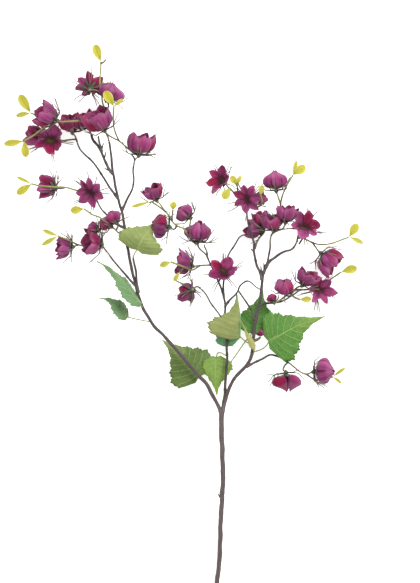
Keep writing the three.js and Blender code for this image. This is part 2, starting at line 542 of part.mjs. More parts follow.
// A closed skin over rings of equal count, with a flat cap on the first and the last.
function loft(rings) {
  const n = rings[0].length;
  const faces = [];
  for (let i = 0; i + 1 < rings.length; i++)
    for (let j = 0; j < n; j++) {
      const [a, b] = [i * n + j, i * n + ((j + 1) % n)];
      faces.push([a, b, b + n], [a, b + n, a + n]);
    }
  const last = (rings.length - 1) * n;
  for (let j = 1; j + 1 < n; j++) {
    faces.push([0, j + 1, j]);
    faces.push([last, last + j, last + j + 1]);
  }
  return solid(rings.flat(), faces);
}

// Rings of the given radii square to a line through points, turned as little as possible on the way
function ringsAlong(points, radii, sides) {
  const across = new THREE.Vector3(0.31, 0.17, 1).normalize();
  return points.map((p, i) => {
    const ahead = points[Math.min(i + 1, points.length - 1)];
    const behind = points[Math.max(i - 1, 0)];
    const along = ahead.clone().sub(behind).normalize();
    across.addScaledVector(along, -across.dot(along)).normalize();
    const other = along.clone().cross(across);
    return Array.from({ length: sides }, (_, j) => {
      const turn = (2 * Math.PI * j) / sides;
      return p.clone()
        .addScaledVector(across, radii[i] * Math.cos(turn))
        .addScaledVector(other, radii[i] * Math.sin(turn));
    });
  });
}

// Drops the points of a line that lie on the straight run between their neighbours
function straightened(points) {
  const [start, end] = [points[0], points.at(-1)];
  const chord = new THREE.Line3(start, end);
  const off = points.map((p) => chord.closestPointToPoint(p, true, new THREE.Vector3()).distanceTo(p));
  const worst = off.indexOf(Math.max(...off));
  if (off[worst] < STRAIGHT) return [start, end];
  return [...straightened(points.slice(0, worst + 1)).slice(0, -1), ...straightened(points.slice(worst))];
}

// A strand starts thinner inside the one that it leaves.
function strand({ path, radius, sides, root = ROOT_SHARE }, grow = 0, end = at(path.at(-1))) {
  const points = straightened([...path.slice(0, -1).map(at), end]);
  const steps = points.length - 1;
  points[0].lerp(points[1], -grow / points[0].distanceTo(points[1]));
  points[steps].lerp(points[steps - 1], -grow / points[steps].distanceTo(points[steps - 1]));
  const radii = points.map((_, i) => (i ? mix(radius[0], radius[1], i / steps) : radius[0] * root) + grow);
  return loft(ringsAlong(points, radii, sides));
}

const stub = (path, grow) => strand({ path, radius: STUB_RADIUS, sides: 4 }, grow);

// A stalk that ends at a calyx is led into the middle of it.
function stalk(path, root, calyces) {
  const end = at(path.at(-1));
  const near = calyces.find((p) => p.distanceTo(end) < CALYX_LENGTH);
  return strand({ path, radius: [STALK_RADIUS, STALK_RADIUS], sides: STALK_SIDES, root }, 0, near || end);
}

const union = (solids) => solids.reduce((a, b) => a.add(b));

// The largest body of a solid, without the scraps that a cut leaves
function largest(made) {
  return made.decompose().reduce((a, b) => (b.volume() > a.volume() ? b : a));
}

const touching = (a, b) => {
  const [p, q] = [a.boundingBox(), b.boundingBox()];
  return [0, 1, 2].every((k) => p.min[k] < q.max[k] && q.min[k] < p.max[k]);
};

function clearOf(made, obstacles) {
  const near = obstacles.filter((o) => touching(made, o));
  return near.length ? largest(near.reduce((a, b) => a.subtract(b), made)) : made;
}

const crosses = (made, obstacles) =>
  obstacles.some((o) => touching(made, o) && made.intersect(o).volume() > 0);

// The direction square to a blade at one of its points
function bladeNormal(rows, i, j) {
  const [before, after] = [rows[Math.max(i - 1, 0)], rows[Math.min(i + 1, rows.length - 1)]];
  const pick = (row) => row[Math.min(j, row.length - 1)];
  if (rows[i].length > 1) {
    const along = pick(after).clone().sub(pick(before));
    const last = rows[i].length - 1;
    return rows[i][Math.min(j + 1, last)].clone().sub(rows[i][Math.max(j - 1, 0)]).cross(along).normalize();
  }
  const beside = i ? before : after;
  const middle = beside[Math.floor(beside.length / 2)];
  const along = i ? rows[i][0].clone().sub(middle) : middle.clone().sub(rows[i][0]);
  return beside.at(-1).clone().sub(beside[0]).cross(along).normalize();
}

// A thin closed blade over rows of points that run from base to tip, each from margin to margin. A row of
// one point is a pointed end. Both faces are split into the same triangles.
function blade(rows, thickness) {
  const first = rows.map((_, i) => rows.slice(0, i).flat().length);
  const under = rows.flat().length;
  const normals = rows.flatMap((row, i) => row.map((_, j) => bladeNormal(rows, i, j)));
  const face = (offset) => rows.flat().map((p, k) => p.clone().addScaledVector(normals[k], offset));
  const faces = [];
  const sheet = (a, b, c) => {
    faces.push([a, b, c], [a + under, c + under, b + under]);
  };
  for (let i = 0; i + 1 < rows.length; i++) {
    const [p, q] = [first[i], first[i + 1]];
    const n = Math.max(rows[i].length, rows[i + 1].length);
    for (let j = 0; j + 1 < n; j++) {
      if (rows[i].length === 1) sheet(p, q + j + 1, q + j);
      else if (rows[i + 1].length === 1) sheet(p + j, p + j + 1, q);
      else if (j < (n - 1) / 2) {
        sheet(p + j, p + j + 1, q + j + 1);
        sheet(p + j, q + j + 1, q + j);
      } else {
        sheet(p + j, p + j + 1, q + j);
        sheet(p + j + 1, q + j + 1, q + j);
      }
    }
  }
  const rim = [
    ...rows[0].map((_, j) => j),
    ...rows.slice(1, -1).map((row, i) => first[i + 1] + row.length - 1),
    ...rows.at(-1).map((_, j) => under - 1 - j),
    ...first.slice(1, -1).reverse(),
  ];
  rim.forEach((a, k) => {
    const b = rim[(k + 1) % rim.length];
    faces.push([b, a, a + under], [b, a + under, b + under]);
  });
  return solid([...face(thickness / 2), ...face(-thickness / 2)], faces);
}

// The rows of a leaf: left margin, rib and right margin at each station. Every other station is a tooth.
function leafRows({ rib, left, right, foldLeft, foldRight, roll, hang = 0 }, grow) {
  const curve = new THREE.CatmullRomCurve3(rib.map(at), false, "centripetal");
  const stations = 2 * TEETH;
  const step = curve.getLength() / stations;
  const halfAt = (t) => {
    const place = t * (LEAF_HALF.length - 1);
    const i = Math.min(Math.floor(place), LEAF_HALF.length - 2);
    return mix(LEAF_HALF[i], LEAF_HALF[i + 1], place - i);
  };
  return Array.from({ length: stations + 1 }, (_, i) => {
    const t = i / stations;
    const root = curve.getPoint(t);
    const along = curve.getTangent(t);
    if (i === stations) return [root.addScaledVector(along, grow)];
    const level = new THREE.Vector3(0, 0, 1).cross(along).normalize().applyAxisAngle(along, rad(roll));
    const tooth = i % 2;
    const side = (width, turn, lag = 0) => {
      const half = width * halfAt(t) * (1 + tooth * TOOTH.out);
      const sweep = half * mix(SWEEP.base - lag, SWEEP.tip, Math.min(1, 3 * t)) * (1 - t);
      const out = level.clone().applyAxisAngle(along, rad(turn));
      return root.clone()
        .addScaledVector(out, half + grow)
        .addScaledVector(along, sweep + tooth * 2 * step * TOOTH.ahead * (1 - t));
    };
    const rows = [side(left, -foldLeft), root, side(right, 180 + foldRight, hang)];
    return i ? rows : rows.map((p) => p.addScaledVector(along, -grow));
  });
}

function leaf(row, grow = 0) {
  const body = blade(leafRows(row, grow), BLADE + 2 * grow);
  const base = at(row.rib[0]).lerp(at(row.rib[1]), PETIOLE_END);
  const points = [...row.petiole.map(at), base];
  return body.add(loft(ringsAlong(points, points.map(() => PETIOLE_RADIUS + grow), 4)));
}

function leaflet({ from, to, width }, grow = 0) {
  const [start, end] = [at(from), at(to)];
  const along = end.clone().sub(start).normalize();
  const across = new THREE.Vector3(0, 0, 1).cross(along).normalize();
  start.addScaledVector(along, -LEAFLET_ROOT);
  const rows = LEAFLET_ROWS.map(([place, share]) => {
    const root = start.clone().lerp(end, place);
    root.z += ARCH * Math.sin(Math.PI * place);
    if (!share) return [root.addScaledVector(along, place ? grow : -grow)];
    const half = (share * width * LEAFLET_WIDTH) / 2 + grow;
    const margin = (sign) => root.clone().addScaledVector(across, sign * half).setZ(root.z + GUTTER * half);
    return [margin(1), root, margin(-1)];
  });
  return blade(rows, BLADE + 2 * grow);
}

// The lantern's own frame: the way it faces, and two directions across
function facing({ aim, lift }) {
  const out = new THREE.Vector3(
    Math.cos(rad(lift)) * Math.cos(rad(aim)), Math.cos(rad(lift)) * Math.sin(rad(aim)), Math.sin(rad(lift)));
  const guide = Math.abs(out.z) > 0.9 ? new THREE.Vector3(1, 0, 0) : new THREE.Vector3(0, 0, 1);
  const across = guide.clone().cross(out).normalize();
  return { out, across, other: out.clone().cross(across) };
}

// Radius and height of the skin as shares, at a share s of the way from foot to lobe tip
function profile(open, s) {
  const [a, b] = open < 1 ? [CLOSED_PROFILE, CUP_PROFILE] : [CUP_PROFILE, STAR_PROFILE];
  const blend = open < 1 ? open : open - 1;
  const place = Math.min(s, 0.9999) * 3;
  const [i, part] = [Math.floor(place), place % 1];
  return [0, 1].map((k) => mix(mix(a[i][k], a[i + 1][k], part), mix(b[i][k], b[i + 1][k], part), blend));
}

// The lobes of a lantern, drawn with its own seed: where each starts round the mouth and the room that it
// takes there, in degrees, how far it reaches and how far its end leans
function lobesOf({ lobes, open }, draw) {
  const spin = draw(0, 360);
  const drawn = Array.from({ length: lobes }, () => ({
    share: draw(...LOBE_ROOM), reach: draw(...LOBE_REACH), fold: open < STAR ? draw(...LOBE_FOLD) : 1,
  }));
  const whole = drawn.reduce((sum, { share }) => sum + share, 0);
  let start = spin;
  return drawn.map(({ share, reach, fold }) => {
    const room = (360 * share) / whole;
    start += room;
    return { start: start - room, room, reach, fold };
  });
}

// The rings of a lantern's skin, from its foot to its lobed rim
function lanternShape(row, seed) {
  const { out, across, other } = facing(row);
  const foot = at(row.foot);
  const full = row.mouth > SMALL_MOUTH ? ROUND_LOBE : PLAIN_LOBE;
  const form = row.open < STAR ? full : POINTED_LOBE;
  const columns = lobesOf(row, seeded(seed)).flatMap(({ start, room, reach, fold }) =>
    form.at.map((part, i) => (
      { turn: rad(start + room * part), up: form.up[i], out: form.out[i], reach, fold })));
  const notch = row.open < 1
    ? mix(NOTCH.closed, NOTCH.cup, row.open)
    : mix(NOTCH.cup, NOTCH.star, row.open - 1);
  const place = (radius, height, turn) =>
    foot.clone()
      .addScaledVector(out, height)
      .addScaledVector(across, radius * Math.cos(turn))
      .addScaledVector(other, radius * Math.sin(turn));
  const shares = row.open < SHUT && row.mouth > SMALL_MOUTH ? RINGS.shut : RINGS.open;
  const rings = shares.map((share) => columns.map((column) => {
    const [radius, height] = profile(row.open, share * mix(notch, 1, column.up));
    const longer = mix(1, column.reach, share * column.up);
    const leaning = mix(1, column.fold, share * share * column.up);
    const wide = radius * (1 + CREASE * column.out) * longer * leaning;
    return place(wide * row.mouth, height * longer * row.depth, column.turn);
  }));
  return { rings, pole: foot, out, count: columns.length };
}

// A lantern's skin: one closed wall with an outer and an inner face that meet at the lobed rim
function lantern(row, seed, grow = 0) {
  const { rings, pole, out, count } = lanternShape(row, seed);
  const outward = rings.map((ring, i) =>
    ring.map((p, j) => {
      const up = (rings[i + 1] || ring)[j].clone().sub(i ? rings[i - 1][j] : pole);
      const round = ring[(j + 1) % count].clone().sub(ring[(j + count - 1) % count]);
      return round.cross(up).normalize();
    }));
  const rim = rings.length - 1;
  const past = rings[rim].map((p, j) => p.clone().sub(rings[rim - 1][j]).setLength(grow || THIN_EDGE));
  const layer = (offset) => [
    pole.clone().addScaledVector(out, -offset),
    ...rings.flatMap((ring, i) => ring.map((p, j) => {
      const moved = p.clone().addScaledVector(outward[i][j], offset);
      return i === rim ? moved.add(past[j]) : moved;
    })),
  ];
  const points = [...layer(grow), ...layer(-PETAL - grow)];
  const inner = 1 + rings.length * count;
  const faces = [];
  const face = (a, b, c) => {
    faces.push([a, b, c], [a + inner, c + inner, b + inner]);
  };
  for (let j = 0; j < count; j++) {
    const k = (j + 1) % count;
    face(0, 1 + k, 1 + j);
    for (let i = 0; i < rim; i++) {
      const base = 1 + i * count;
      face(base + j, base + k, base + k + count);
      face(base + j, base + k + count, base + j + count);
    }
    const edge = 1 + rim * count;
    faces.push([edge + j, edge + k, edge + k + inner], [edge + j, edge + k + inner, edge + j + inner]);
  }
  return solid(points, faces);
}

const CALYX_RINGS = [[-0.4 * CALYX_LENGTH, 0.95 * CALYX_RADIUS], [-GAP, CALYX_RADIUS]];
const CALYX_SIDES = 5;
const THREAD_SEED = 500; // added to a lantern's seed for the draws of its threads
const THREADS = 4;
const THREAD_ROOM = 1.1; // a thread bends this far out, as a share of the skin's radius
const THREAD_BEND = { out: 2, back: -1.5 }; // then by this much more, and this far behind the foot
const THREAD_RISE = [0.1, 0.75]; // the height of a thread's tip, as a share of the lantern's depth

// The corners of a calyx: its lower and its upper ring
function calyxCorners(row) {
  const { out } = facing(row);
  const points = CALYX_RINGS.map(([height]) => at(row.foot).addScaledVector(out, height));
  return ringsAlong(points, CALYX_RINGS.map(([, radius]) => radius), CALYX_SIDES);
}

// Thread-like bracts leave facets of the calyx, bend round the skin and stand out past it. Each has the
// side of the calyx that it leaves, the middle of its facet, a bend and a tip.
function threads(row, seed) {
  const { out } = facing(row);
  const draw = seeded(seed + THREAD_SEED);
  const [lower, upper] = calyxCorners(row);
  const [widest] = profile(row.open, RIB_AT);
  const [shoulder] = profile(row.open, NECK_AT);
  return Array.from({ length: THREADS }, (_, side) => {
    const next = (side + 1) % CALYX_SIDES;
    const facet = [lower[side], lower[next], upper[next]];
    const centre = facet.reduce((sum, p) => sum.add(p), new THREE.Vector3()).divideScalar(3);
    const aside = centre.clone().sub(at(row.foot));
    aside.addScaledVector(out, -aside.dot(out)).normalize();
    const place = (radius, height) =>
      at(row.foot).addScaledVector(out, height).addScaledVector(aside, radius);
    const past = draw(...THREAD_REACH) * Math.min(1, row.mouth / SMALL_MOUTH);
    const bend = place(shoulder * THREAD_ROOM * row.mouth + THREAD_BEND.out, THREAD_BEND.back);
    const tip = place(widest * THREAD_ROOM * row.mouth + past, row.depth * draw(...THREAD_RISE));
    return { side, centre, bend, tip };
  }).filter(({ tip }) => tip.z > CLEAR_ABOVE);
}

const threadRoom = ({ centre, bend, tip }) =>
  loft(ringsAlong([centre, bend, tip], [2, 1, 0.5].map((share) => share * THREAD_RADIUS + GAP), 3));

// A calyx, pointed below and flat above, with the given threads drawn out of its facets
function calyx(row, bracts) {
  const points = calyxCorners(row).flat();
  const n = CALYX_SIDES;
  const faces = [];
  const point = points.push(at(row.foot).addScaledVector(facing(row).out, -CALYX_LENGTH)) - 1;
  for (let j = 0; j < n; j++) {
    const k = (j + 1) % n;
    faces.push([point, k, j]);
    const bract = bracts.find(({ side }) => side === j);
    if (bract) drawOut(points, faces, [j, k, k + n], bract);
    else faces.push([j, k, k + n]);
    faces.push([j, k + n, j + n]);
    if (j && k) faces.push([n, n + j, n + k]);
  }
  return solid(points, faces);
}

// Draws one facet out to a thin three-sided thread with a bend and a pointed tip
function drawOut(points, faces, facet, { centre, bend, tip }) {
  const along = tip.clone().sub(centre).normalize();
  const ring = points.length;
  for (const corner of facet) {
    const aside = points[corner].clone().sub(centre);
    aside.addScaledVector(along, -aside.dot(along)).setLength(THREAD_RADIUS);
    points.push(bend.clone().add(aside));
  }
  const end = points.push(tip) - 1;
  for (let k = 0; k < 3; k++) {
    const [a, b] = [facet[k], facet[(k + 1) % 3]];
    const [c, d] = [ring + k, ring + ((k + 1) % 3)];
    faces.push([a, b, d], [a, d, c], [c, d, end]);
  }
}

const seedOf = Object.fromEntries(Object.keys(LANTERNS).map((name, i) => [name, 100 + i]));

// The cut end and two lanterns are set so that the lowest point of each just rests on the surface.
WOOD.trunk.path[0][2] -= strand(WOOD.trunk).boundingBox().min[2];
for (const name of ["lantern_far_west", "lantern_far_east"]) {
  const row = LANTERNS[name];
  row.foot[2] -= lantern(row, seedOf[name]).boundingBox().min[2];
}

const group = new THREE.Group();
const colour = (kind) =>
  new THREE.MeshStandardMaterial({ color: COLOURS[kind], roughness: ROUGHNESS, metalness: 0 });

function place(name, made, kind) {
  const mesh = made.getMesh();
  const geometry = new THREE.BufferGeometry();
  geometry.setAttribute("position", new THREE.BufferAttribute(mesh.vertProperties, 3));
  geometry.setIndex(new THREE.BufferAttribute(mesh.triVerts, 1));
  const piece = new THREE.Mesh(geometry, colour(kind));
  piece.name = name;
  group.add(piece);
}

// Wood
const wood = (grow) =>
  union([
    ...Object.values(WOOD).map((row) => strand(row, grow)),
    ...Object.values(STUBS).map((path) => stub(path, grow)),
  ]);
place("woody_stem", wood(0), "wood");
const obstacles = [wood(GAP)];

// Leaves
for (const [name, row] of Object.entries(LEAVES)) {
  place(name, clearOf(leaf(row), obstacles), "leaf");
  obstacles.push(leaf(row, GAP));
}

// Lanterns
const partner = Object.fromEntries(JOINED);
const seconds = new Set(Object.values(partner));
for (const [name, row] of Object.entries(LANTERNS)) {
  if (seconds.has(name)) continue;
  const names = [name, partner[name]].filter(Boolean);
  const skins = names.map((n) => lantern(LANTERNS[n], seedOf[n]));
  place(name, clearOf(union(skins), obstacles), "lantern");
  for (const n of names) obstacles.push(lantern(LANTERNS[n], seedOf[n], GAP));
}

// Green sprays
for (const [name, row] of Object.entries(SPRAYS)) {
  const free = (thread) => !crosses(threadRoom(thread), obstacles);
  const middles = row.lanterns.map((n) =>
    at(LANTERNS[n].foot).addScaledVector(facing(LANTERNS[n]).out, -CALYX_LENGTH / 2));
  const body = union([
    ...row.stalks.map((path, i) => stalk(path, i ? ROOT_SHARE : 1, middles)),
    ...row.lanterns.map((n) => calyx(LANTERNS[n], threads(LANTERNS[n], seedOf[n]).filter(free))),
    ...row.leaflets.map((piece) => leaflet(piece)),
  ]);
  const made = clearOf(body, obstacles);
  place(name, made, "spray");
  obstacles.push(made);
}

export default group;
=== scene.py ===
"""A cut flowering spray with papery magenta lanterns, lying on a pale surface. Metres, +Z up."""
from math import cos, exp, pi, radians, sin, sqrt

import bmesh
import bpy
from mathutils import Matrix, Vector, noise
from mathutils.bvhtree import BVHTree


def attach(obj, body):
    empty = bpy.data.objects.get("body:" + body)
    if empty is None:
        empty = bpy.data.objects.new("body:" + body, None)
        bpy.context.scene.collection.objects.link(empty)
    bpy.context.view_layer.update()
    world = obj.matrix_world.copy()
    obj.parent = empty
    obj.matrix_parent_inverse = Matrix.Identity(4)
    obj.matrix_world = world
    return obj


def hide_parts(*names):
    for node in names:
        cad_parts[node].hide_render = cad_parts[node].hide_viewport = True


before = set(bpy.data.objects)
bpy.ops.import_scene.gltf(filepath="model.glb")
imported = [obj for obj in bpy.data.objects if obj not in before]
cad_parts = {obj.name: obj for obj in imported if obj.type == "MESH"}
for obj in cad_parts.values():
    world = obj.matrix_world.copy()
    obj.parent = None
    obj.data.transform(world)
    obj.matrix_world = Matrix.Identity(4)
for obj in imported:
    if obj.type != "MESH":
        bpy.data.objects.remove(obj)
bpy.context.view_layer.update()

MM = 0.001
TURN = 2 * pi
UP = Vector((0, 0, 1))

# The layout is drawn on the photograph: x to the right and y down in its pixels, then the height in mm.
SPRAY_LENGTH = 841.5  # mm, from the cut end to the tip of the topmost leaflet
TOP_PX, CUT_PX, MIDDLE_PX = 44, 605, 182.5
MM_PER_PX = SPRAY_LENGTH / (CUT_PX - TOP_PX)
PHOTO_PX = (420, 583)

# Sizes in mm
SKIN, LEAF_SKIN, LEAFLET_SKIN, SEPAL_SKIN = 0.35, 0.4, 0.4, 0.35  # thickness of the cloth
STALK_RADIUS, PETIOLE_RADIUS, THREAD_RADIUS = 1.3, 0.9, 0.9
CALYX_RADIUS, CALYX_LENGTH, CALYX_GAP = 3.3, 6.5, 0.3
SMALL_CALYX = 9  # a lantern with a mouth smaller than this has a smaller calyx and fewer threads
SMALL_MOUTH = 13.6  # and one with a mouth smaller than this has shorter threads
THREAD_REACH = (5, 11)
EXTRA_REACH = 3  # how much further the threads go that the solid doesn't have
CLEAR_ABOVE = 2  # a thread stays this far above the surface
CLEAR_AROUND = 1.2  # and this far from other pieces
LEAFLET_WIDTH, LEAFLET_ROOT = 13.5, 0.8
STRAND_STEP, FINE_STEP, STUB_STEP = 1.8, 1.2, 0.8  # between the rings of strands, of threads and of stubs


def srgb(red, green, blue):
    """A colour given as it looks on a screen, 0 to 255, as the linear colour that a shader takes."""
    def linear(value):
        share = value / 255
        return share / 12.92 if share <= 0.04045 else ((share + 0.055) / 1.055) ** 2.4
    return (linear(red), linear(green), linear(blue), 1.0)


# Leaf colours
PALE_OLIVE = srgb(152, 166, 98)
BLUE_GREEN = srgb(96, 160, 116)
SAGE = srgb(116, 154, 108)
FRESH = srgb(132, 164, 74)
GRASS = srgb(88, 142, 58)
DEEP = srgb(94, 118, 54)
LIME = srgb(158, 192, 78)
TAN = srgb(186, 181, 112)
OLIVE_TAN = srgb(152, 158, 94)

WHITE = (1, 1, 1, 1)
COLOURS = {name: srgb(*shade) for name, shade in {
    "thick bark": (94, 82, 83), "thin bark": (68, 61, 61), "bark patch": (122, 112, 106),
    "bark streak": (56, 48, 48), "twig end": (124, 122, 98), "bark knot": (40, 34, 34),
    "stalk foot": (98, 84, 74), "stalk": (140, 142, 84), "stalk speckle": (100, 106, 66),
    "stalk joint": (92, 84, 66),
    "calyx neck": (138, 140, 104), "calyx": (66, 86, 62), "calyx speckle": (104, 84, 78),
    "thread foot": (96, 72, 76), "thread tip": (120, 116, 98),
    "leaflet base": (138, 148, 50), "leaflet": (192, 182, 48), "pale leaflet": (176, 178, 88),
    "leaflet patch": (210, 204, 92), "leaflet margin": (226, 224, 150), "leaflet rib": (150, 146, 40),
    "leaflet glow": (220, 214, 80),
    "leaf mottle": (60, 92, 40), "beside a vein": (40, 70, 34), "leaf net": (190, 210, 140),
    "light vein": (205, 220, 140), "dark vein": (88, 100, 50), "leaf underside": (150, 170, 120),
    # Lantern cloth: the rim colour is a painted highlight, fold and throat are painted shade, and dark
    # cloth is darker cloth with painted shade.
    "violet pink": (184, 88, 152), "crimson": (172, 10, 72), "cloth patch": (142, 34, 98),
    "cloth streak": (98, 22, 66), "painted rim highlight": (208, 136, 182), "fold": (84, 18, 52), "cloth foot": (92, 52, 58),
    "inner cloth": (126, 16, 66), "painted throat shade": (52, 18, 30), "throat olive": (92, 84, 38),
    "dark cloth with painted shade": (72, 16, 46), "cloth glow": (214, 20, 104),
}.items()}


def leaf(rib, petiole, widths, folds, tones, roll=0, hang=0, frayed=1, left_tone=None):
    """A row of LEAVES, with its values by name."""
    return {"rib": rib, "petiole": petiole, "widths": widths, "folds": folds, "tones": tones, "roll": roll,
            "hang": hang, "frayed": frayed, "left_tone": left_tone}


def lantern(foot, aim, lift, mouth, depth, openness, lobes, crimson, darker_cloth_and_painted_shade, **more):
    """A row of LANTERNS, with its values by name."""
    return {"foot": foot, "aim": aim, "lift": lift, "mouth": mouth, "depth": depth, "open": openness,
            "lobes": lobes, "crimson": crimson, "darker_cloth_and_painted_shade": darker_cloth_and_painted_shade, **more}


# Woody strands: the radius of each at its start and at its end, and the points that it runs through
WOOD = {
    "trunk": (3.1, 3.6, [(217, 605, 3.1), (217.3, 583, 4.5), (219.5, 560, 8), (220.5, 530, 13),
        (222, 500, 18), (223, 480, 22), (222.3, 450, 28), (221.5, 430, 31), (221.5, 412, 34)]),
    "left_main": (2.7, 1.5, [(221.5, 420, 32), (220.5, 411, 34), (215, 400, 35), (207, 385, 36),
        (195, 372, 37), (180, 354, 39), (166, 338, 41), (155, 327, 42), (144, 310, 44), (139, 297, 45),
        (135.5, 284, 46), (131, 266, 47), (128, 250, 48), (125.5, 238, 49), (125, 229, 50), (122, 212, 51),
        (118, 198, 52), (114, 178, 54), (112, 165, 55), (111, 152, 56), (109, 141, 57)]),
    "left_twin": (1.7, 1.4, [(138.5, 293, 45.5), (137, 284, 47), (136, 272, 50), (134.3, 263, 54),
        (133.2, 258, 57)]),
    "left_low": (1.6, 1.1, [(136, 286, 46), (130, 280, 44), (125, 274, 42), (118, 266, 42), (113, 260, 43),
        (107, 252, 44)]),
    "left_star": (1.6, 1.1, [(124.7, 228, 50), (120, 226, 47), (116, 222, 45), (110, 218, 43),
        (106, 214, 42), (102, 210, 41), (98, 203, 40)]),
    "left_side": (1.7, 0.9, [(121.5, 211, 51), (125, 204, 53), (128, 198, 54), (131, 192, 55),
        (133, 187, 55), (134, 180, 55), (133, 172, 55), (134, 165, 55), (135, 160, 55), (138, 157, 55.5)]),
    "left_side_fork": (0.9, 0.8, [(135, 161, 55), (133.5, 157, 55), (131, 154, 54)]),
    "left_low_rise": (1.6, 1.1, [(118.3, 199, 52), (113, 192, 50), (105, 180, 46), (98, 169, 42),
        (92, 161, 38), (85, 155, 34), (80, 149, 31), (77, 142, 29)]),
    "left_red": (1.7, 1.9, [(113.2, 174, 54), (109, 169, 53), (105, 161, 51), (102, 153, 49), (98, 146, 47),
        (93, 140, 45), (91, 134, 43)]),
    "left_rod": (1.6, 1.3, [(102, 152, 49), (99.5, 143, 51), (98.5, 136, 52)]),
    "middle_main": (2.1, 1.1, [(222, 414, 33), (224, 400, 33), (225, 390, 33), (226, 375, 33),
        (227, 360, 33), (226.5, 340, 34), (225, 325, 35), (225, 304, 37), (222, 291, 40), (219, 283, 42),
        (216, 276, 43), (211, 265, 45), (206, 255, 46), (201, 250, 47), (198.5, 247, 49)]),
    "middle_rod": (1.1, 0.9, [(207, 257, 46), (206.8, 252, 49), (205, 247, 51), (204, 244, 52)]),
    "middle_back": (1.2, 0.9, [(224.8, 322, 35), (219, 314, 35), (215, 309, 35.5), (211, 303, 37),
        (208, 298, 41), (204, 292, 49), (200, 288, 57)]),
    "middle_cross": (1.5, 0.8, [(225, 306, 37), (230, 300, 40), (235, 295, 43), (238, 291, 45),
        (240, 286, 47), (247, 281, 49), (252, 283, 50), (256, 287, 51), (261, 290, 50)]),
    "middle_right": (1.4, 1, [(223.7, 298, 38), (223.5, 286, 39), (224.5, 271, 38), (227, 258, 40),
        (234, 246, 42), (241, 236, 40), (250, 234, 36)]),
    "right_main": (2.5, 2, [(222, 413, 33), (225, 402, 34), (227, 395, 35), (230, 387, 37), (234, 379, 38),
        (240, 372, 39), (246, 366, 40), (250, 360, 41), (252, 352, 42), (253, 343, 43), (254, 333, 44),
        (256, 320, 46), (258, 310, 47), (260, 300, 49), (261.5, 288, 50), (262.5, 278, 51),
        (264, 270, 52)]),
    "right_star": (1.9, 1.1, [(262, 280, 51), (260, 272, 52), (257, 266, 53), (255, 258, 54),
        (254, 250, 54), (254, 244, 54), (252, 237, 54), (250, 230, 54), (248, 222, 53), (247, 214, 51),
        (247, 208, 50)]),
    "right_inner": (1.3, 1.1, [(254.7, 249, 54), (257, 242, 50), (259, 238, 44)]),
    "right_upper": (1.7, 1, [(263.5, 274, 52), (266, 266, 54), (268, 260, 55), (269, 254, 55),
        (270, 247, 55), (270.3, 241, 54), (271, 236, 53)]),
    "right_outer": (2.1, 1.1, [(265, 268, 52), (270, 261, 51), (274, 258, 50), (280, 254, 48),
        (286, 251, 46), (290, 250, 45), (294, 247, 44), (297, 242, 43)]),
    "right_low": (1.5, 1.1, [(258.8, 306, 48), (264, 303.5, 47), (270, 303, 46), (280, 302, 44),
        (285, 300, 43), (289, 297, 42), (292, 293, 41)]),
    "right_low_fork": (1, 0.9, [(289, 297, 42), (294, 294, 39), (299, 291, 35), (303, 290, 32)]),
    "right_cross": (1.4, 1.2, [(255.7, 321, 46), (252, 312, 46), (248, 305, 46), (243, 297, 46),
        (238, 290.5, 45.5)]),
    "right_bottom": (1.7, 1, [(246, 367, 40), (254, 363, 40), (262, 359, 39), (270, 355, 38),
        (279, 357, 38), (286, 361, 39)]),
    "right_bud": (1.5, 1.3, [(253.5, 341, 43), (257.5, 339.5, 43.5), (260.75, 336.9, 44.4)]),
}

# Short side shoots that end in a blunt tip
STUBS = {
    "trunk": [(221.8, 501, 18), (218, 494, 21)], "collar": [(222.8, 480, 22), (225, 478, 24)],
    "fork": [(221.5, 423, 32), (218.6, 419.5, 34)], "knot": [(222, 444, 29), (219.2, 440, 31)],
    "rod": [(101.5, 151, 49), (103.5, 143, 52)], "red": [(104.3, 159, 50.5), (106, 152, 53)],
    "left": [(112.5, 172, 54.5), (104.5, 168.5, 55)], "right_a": [(262, 275, 51.5), (260.7, 266, 55)],
    "right_b": [(264, 271, 52), (263.8, 263, 56)], "star": [(254, 252, 54), (251, 249, 55)],
}

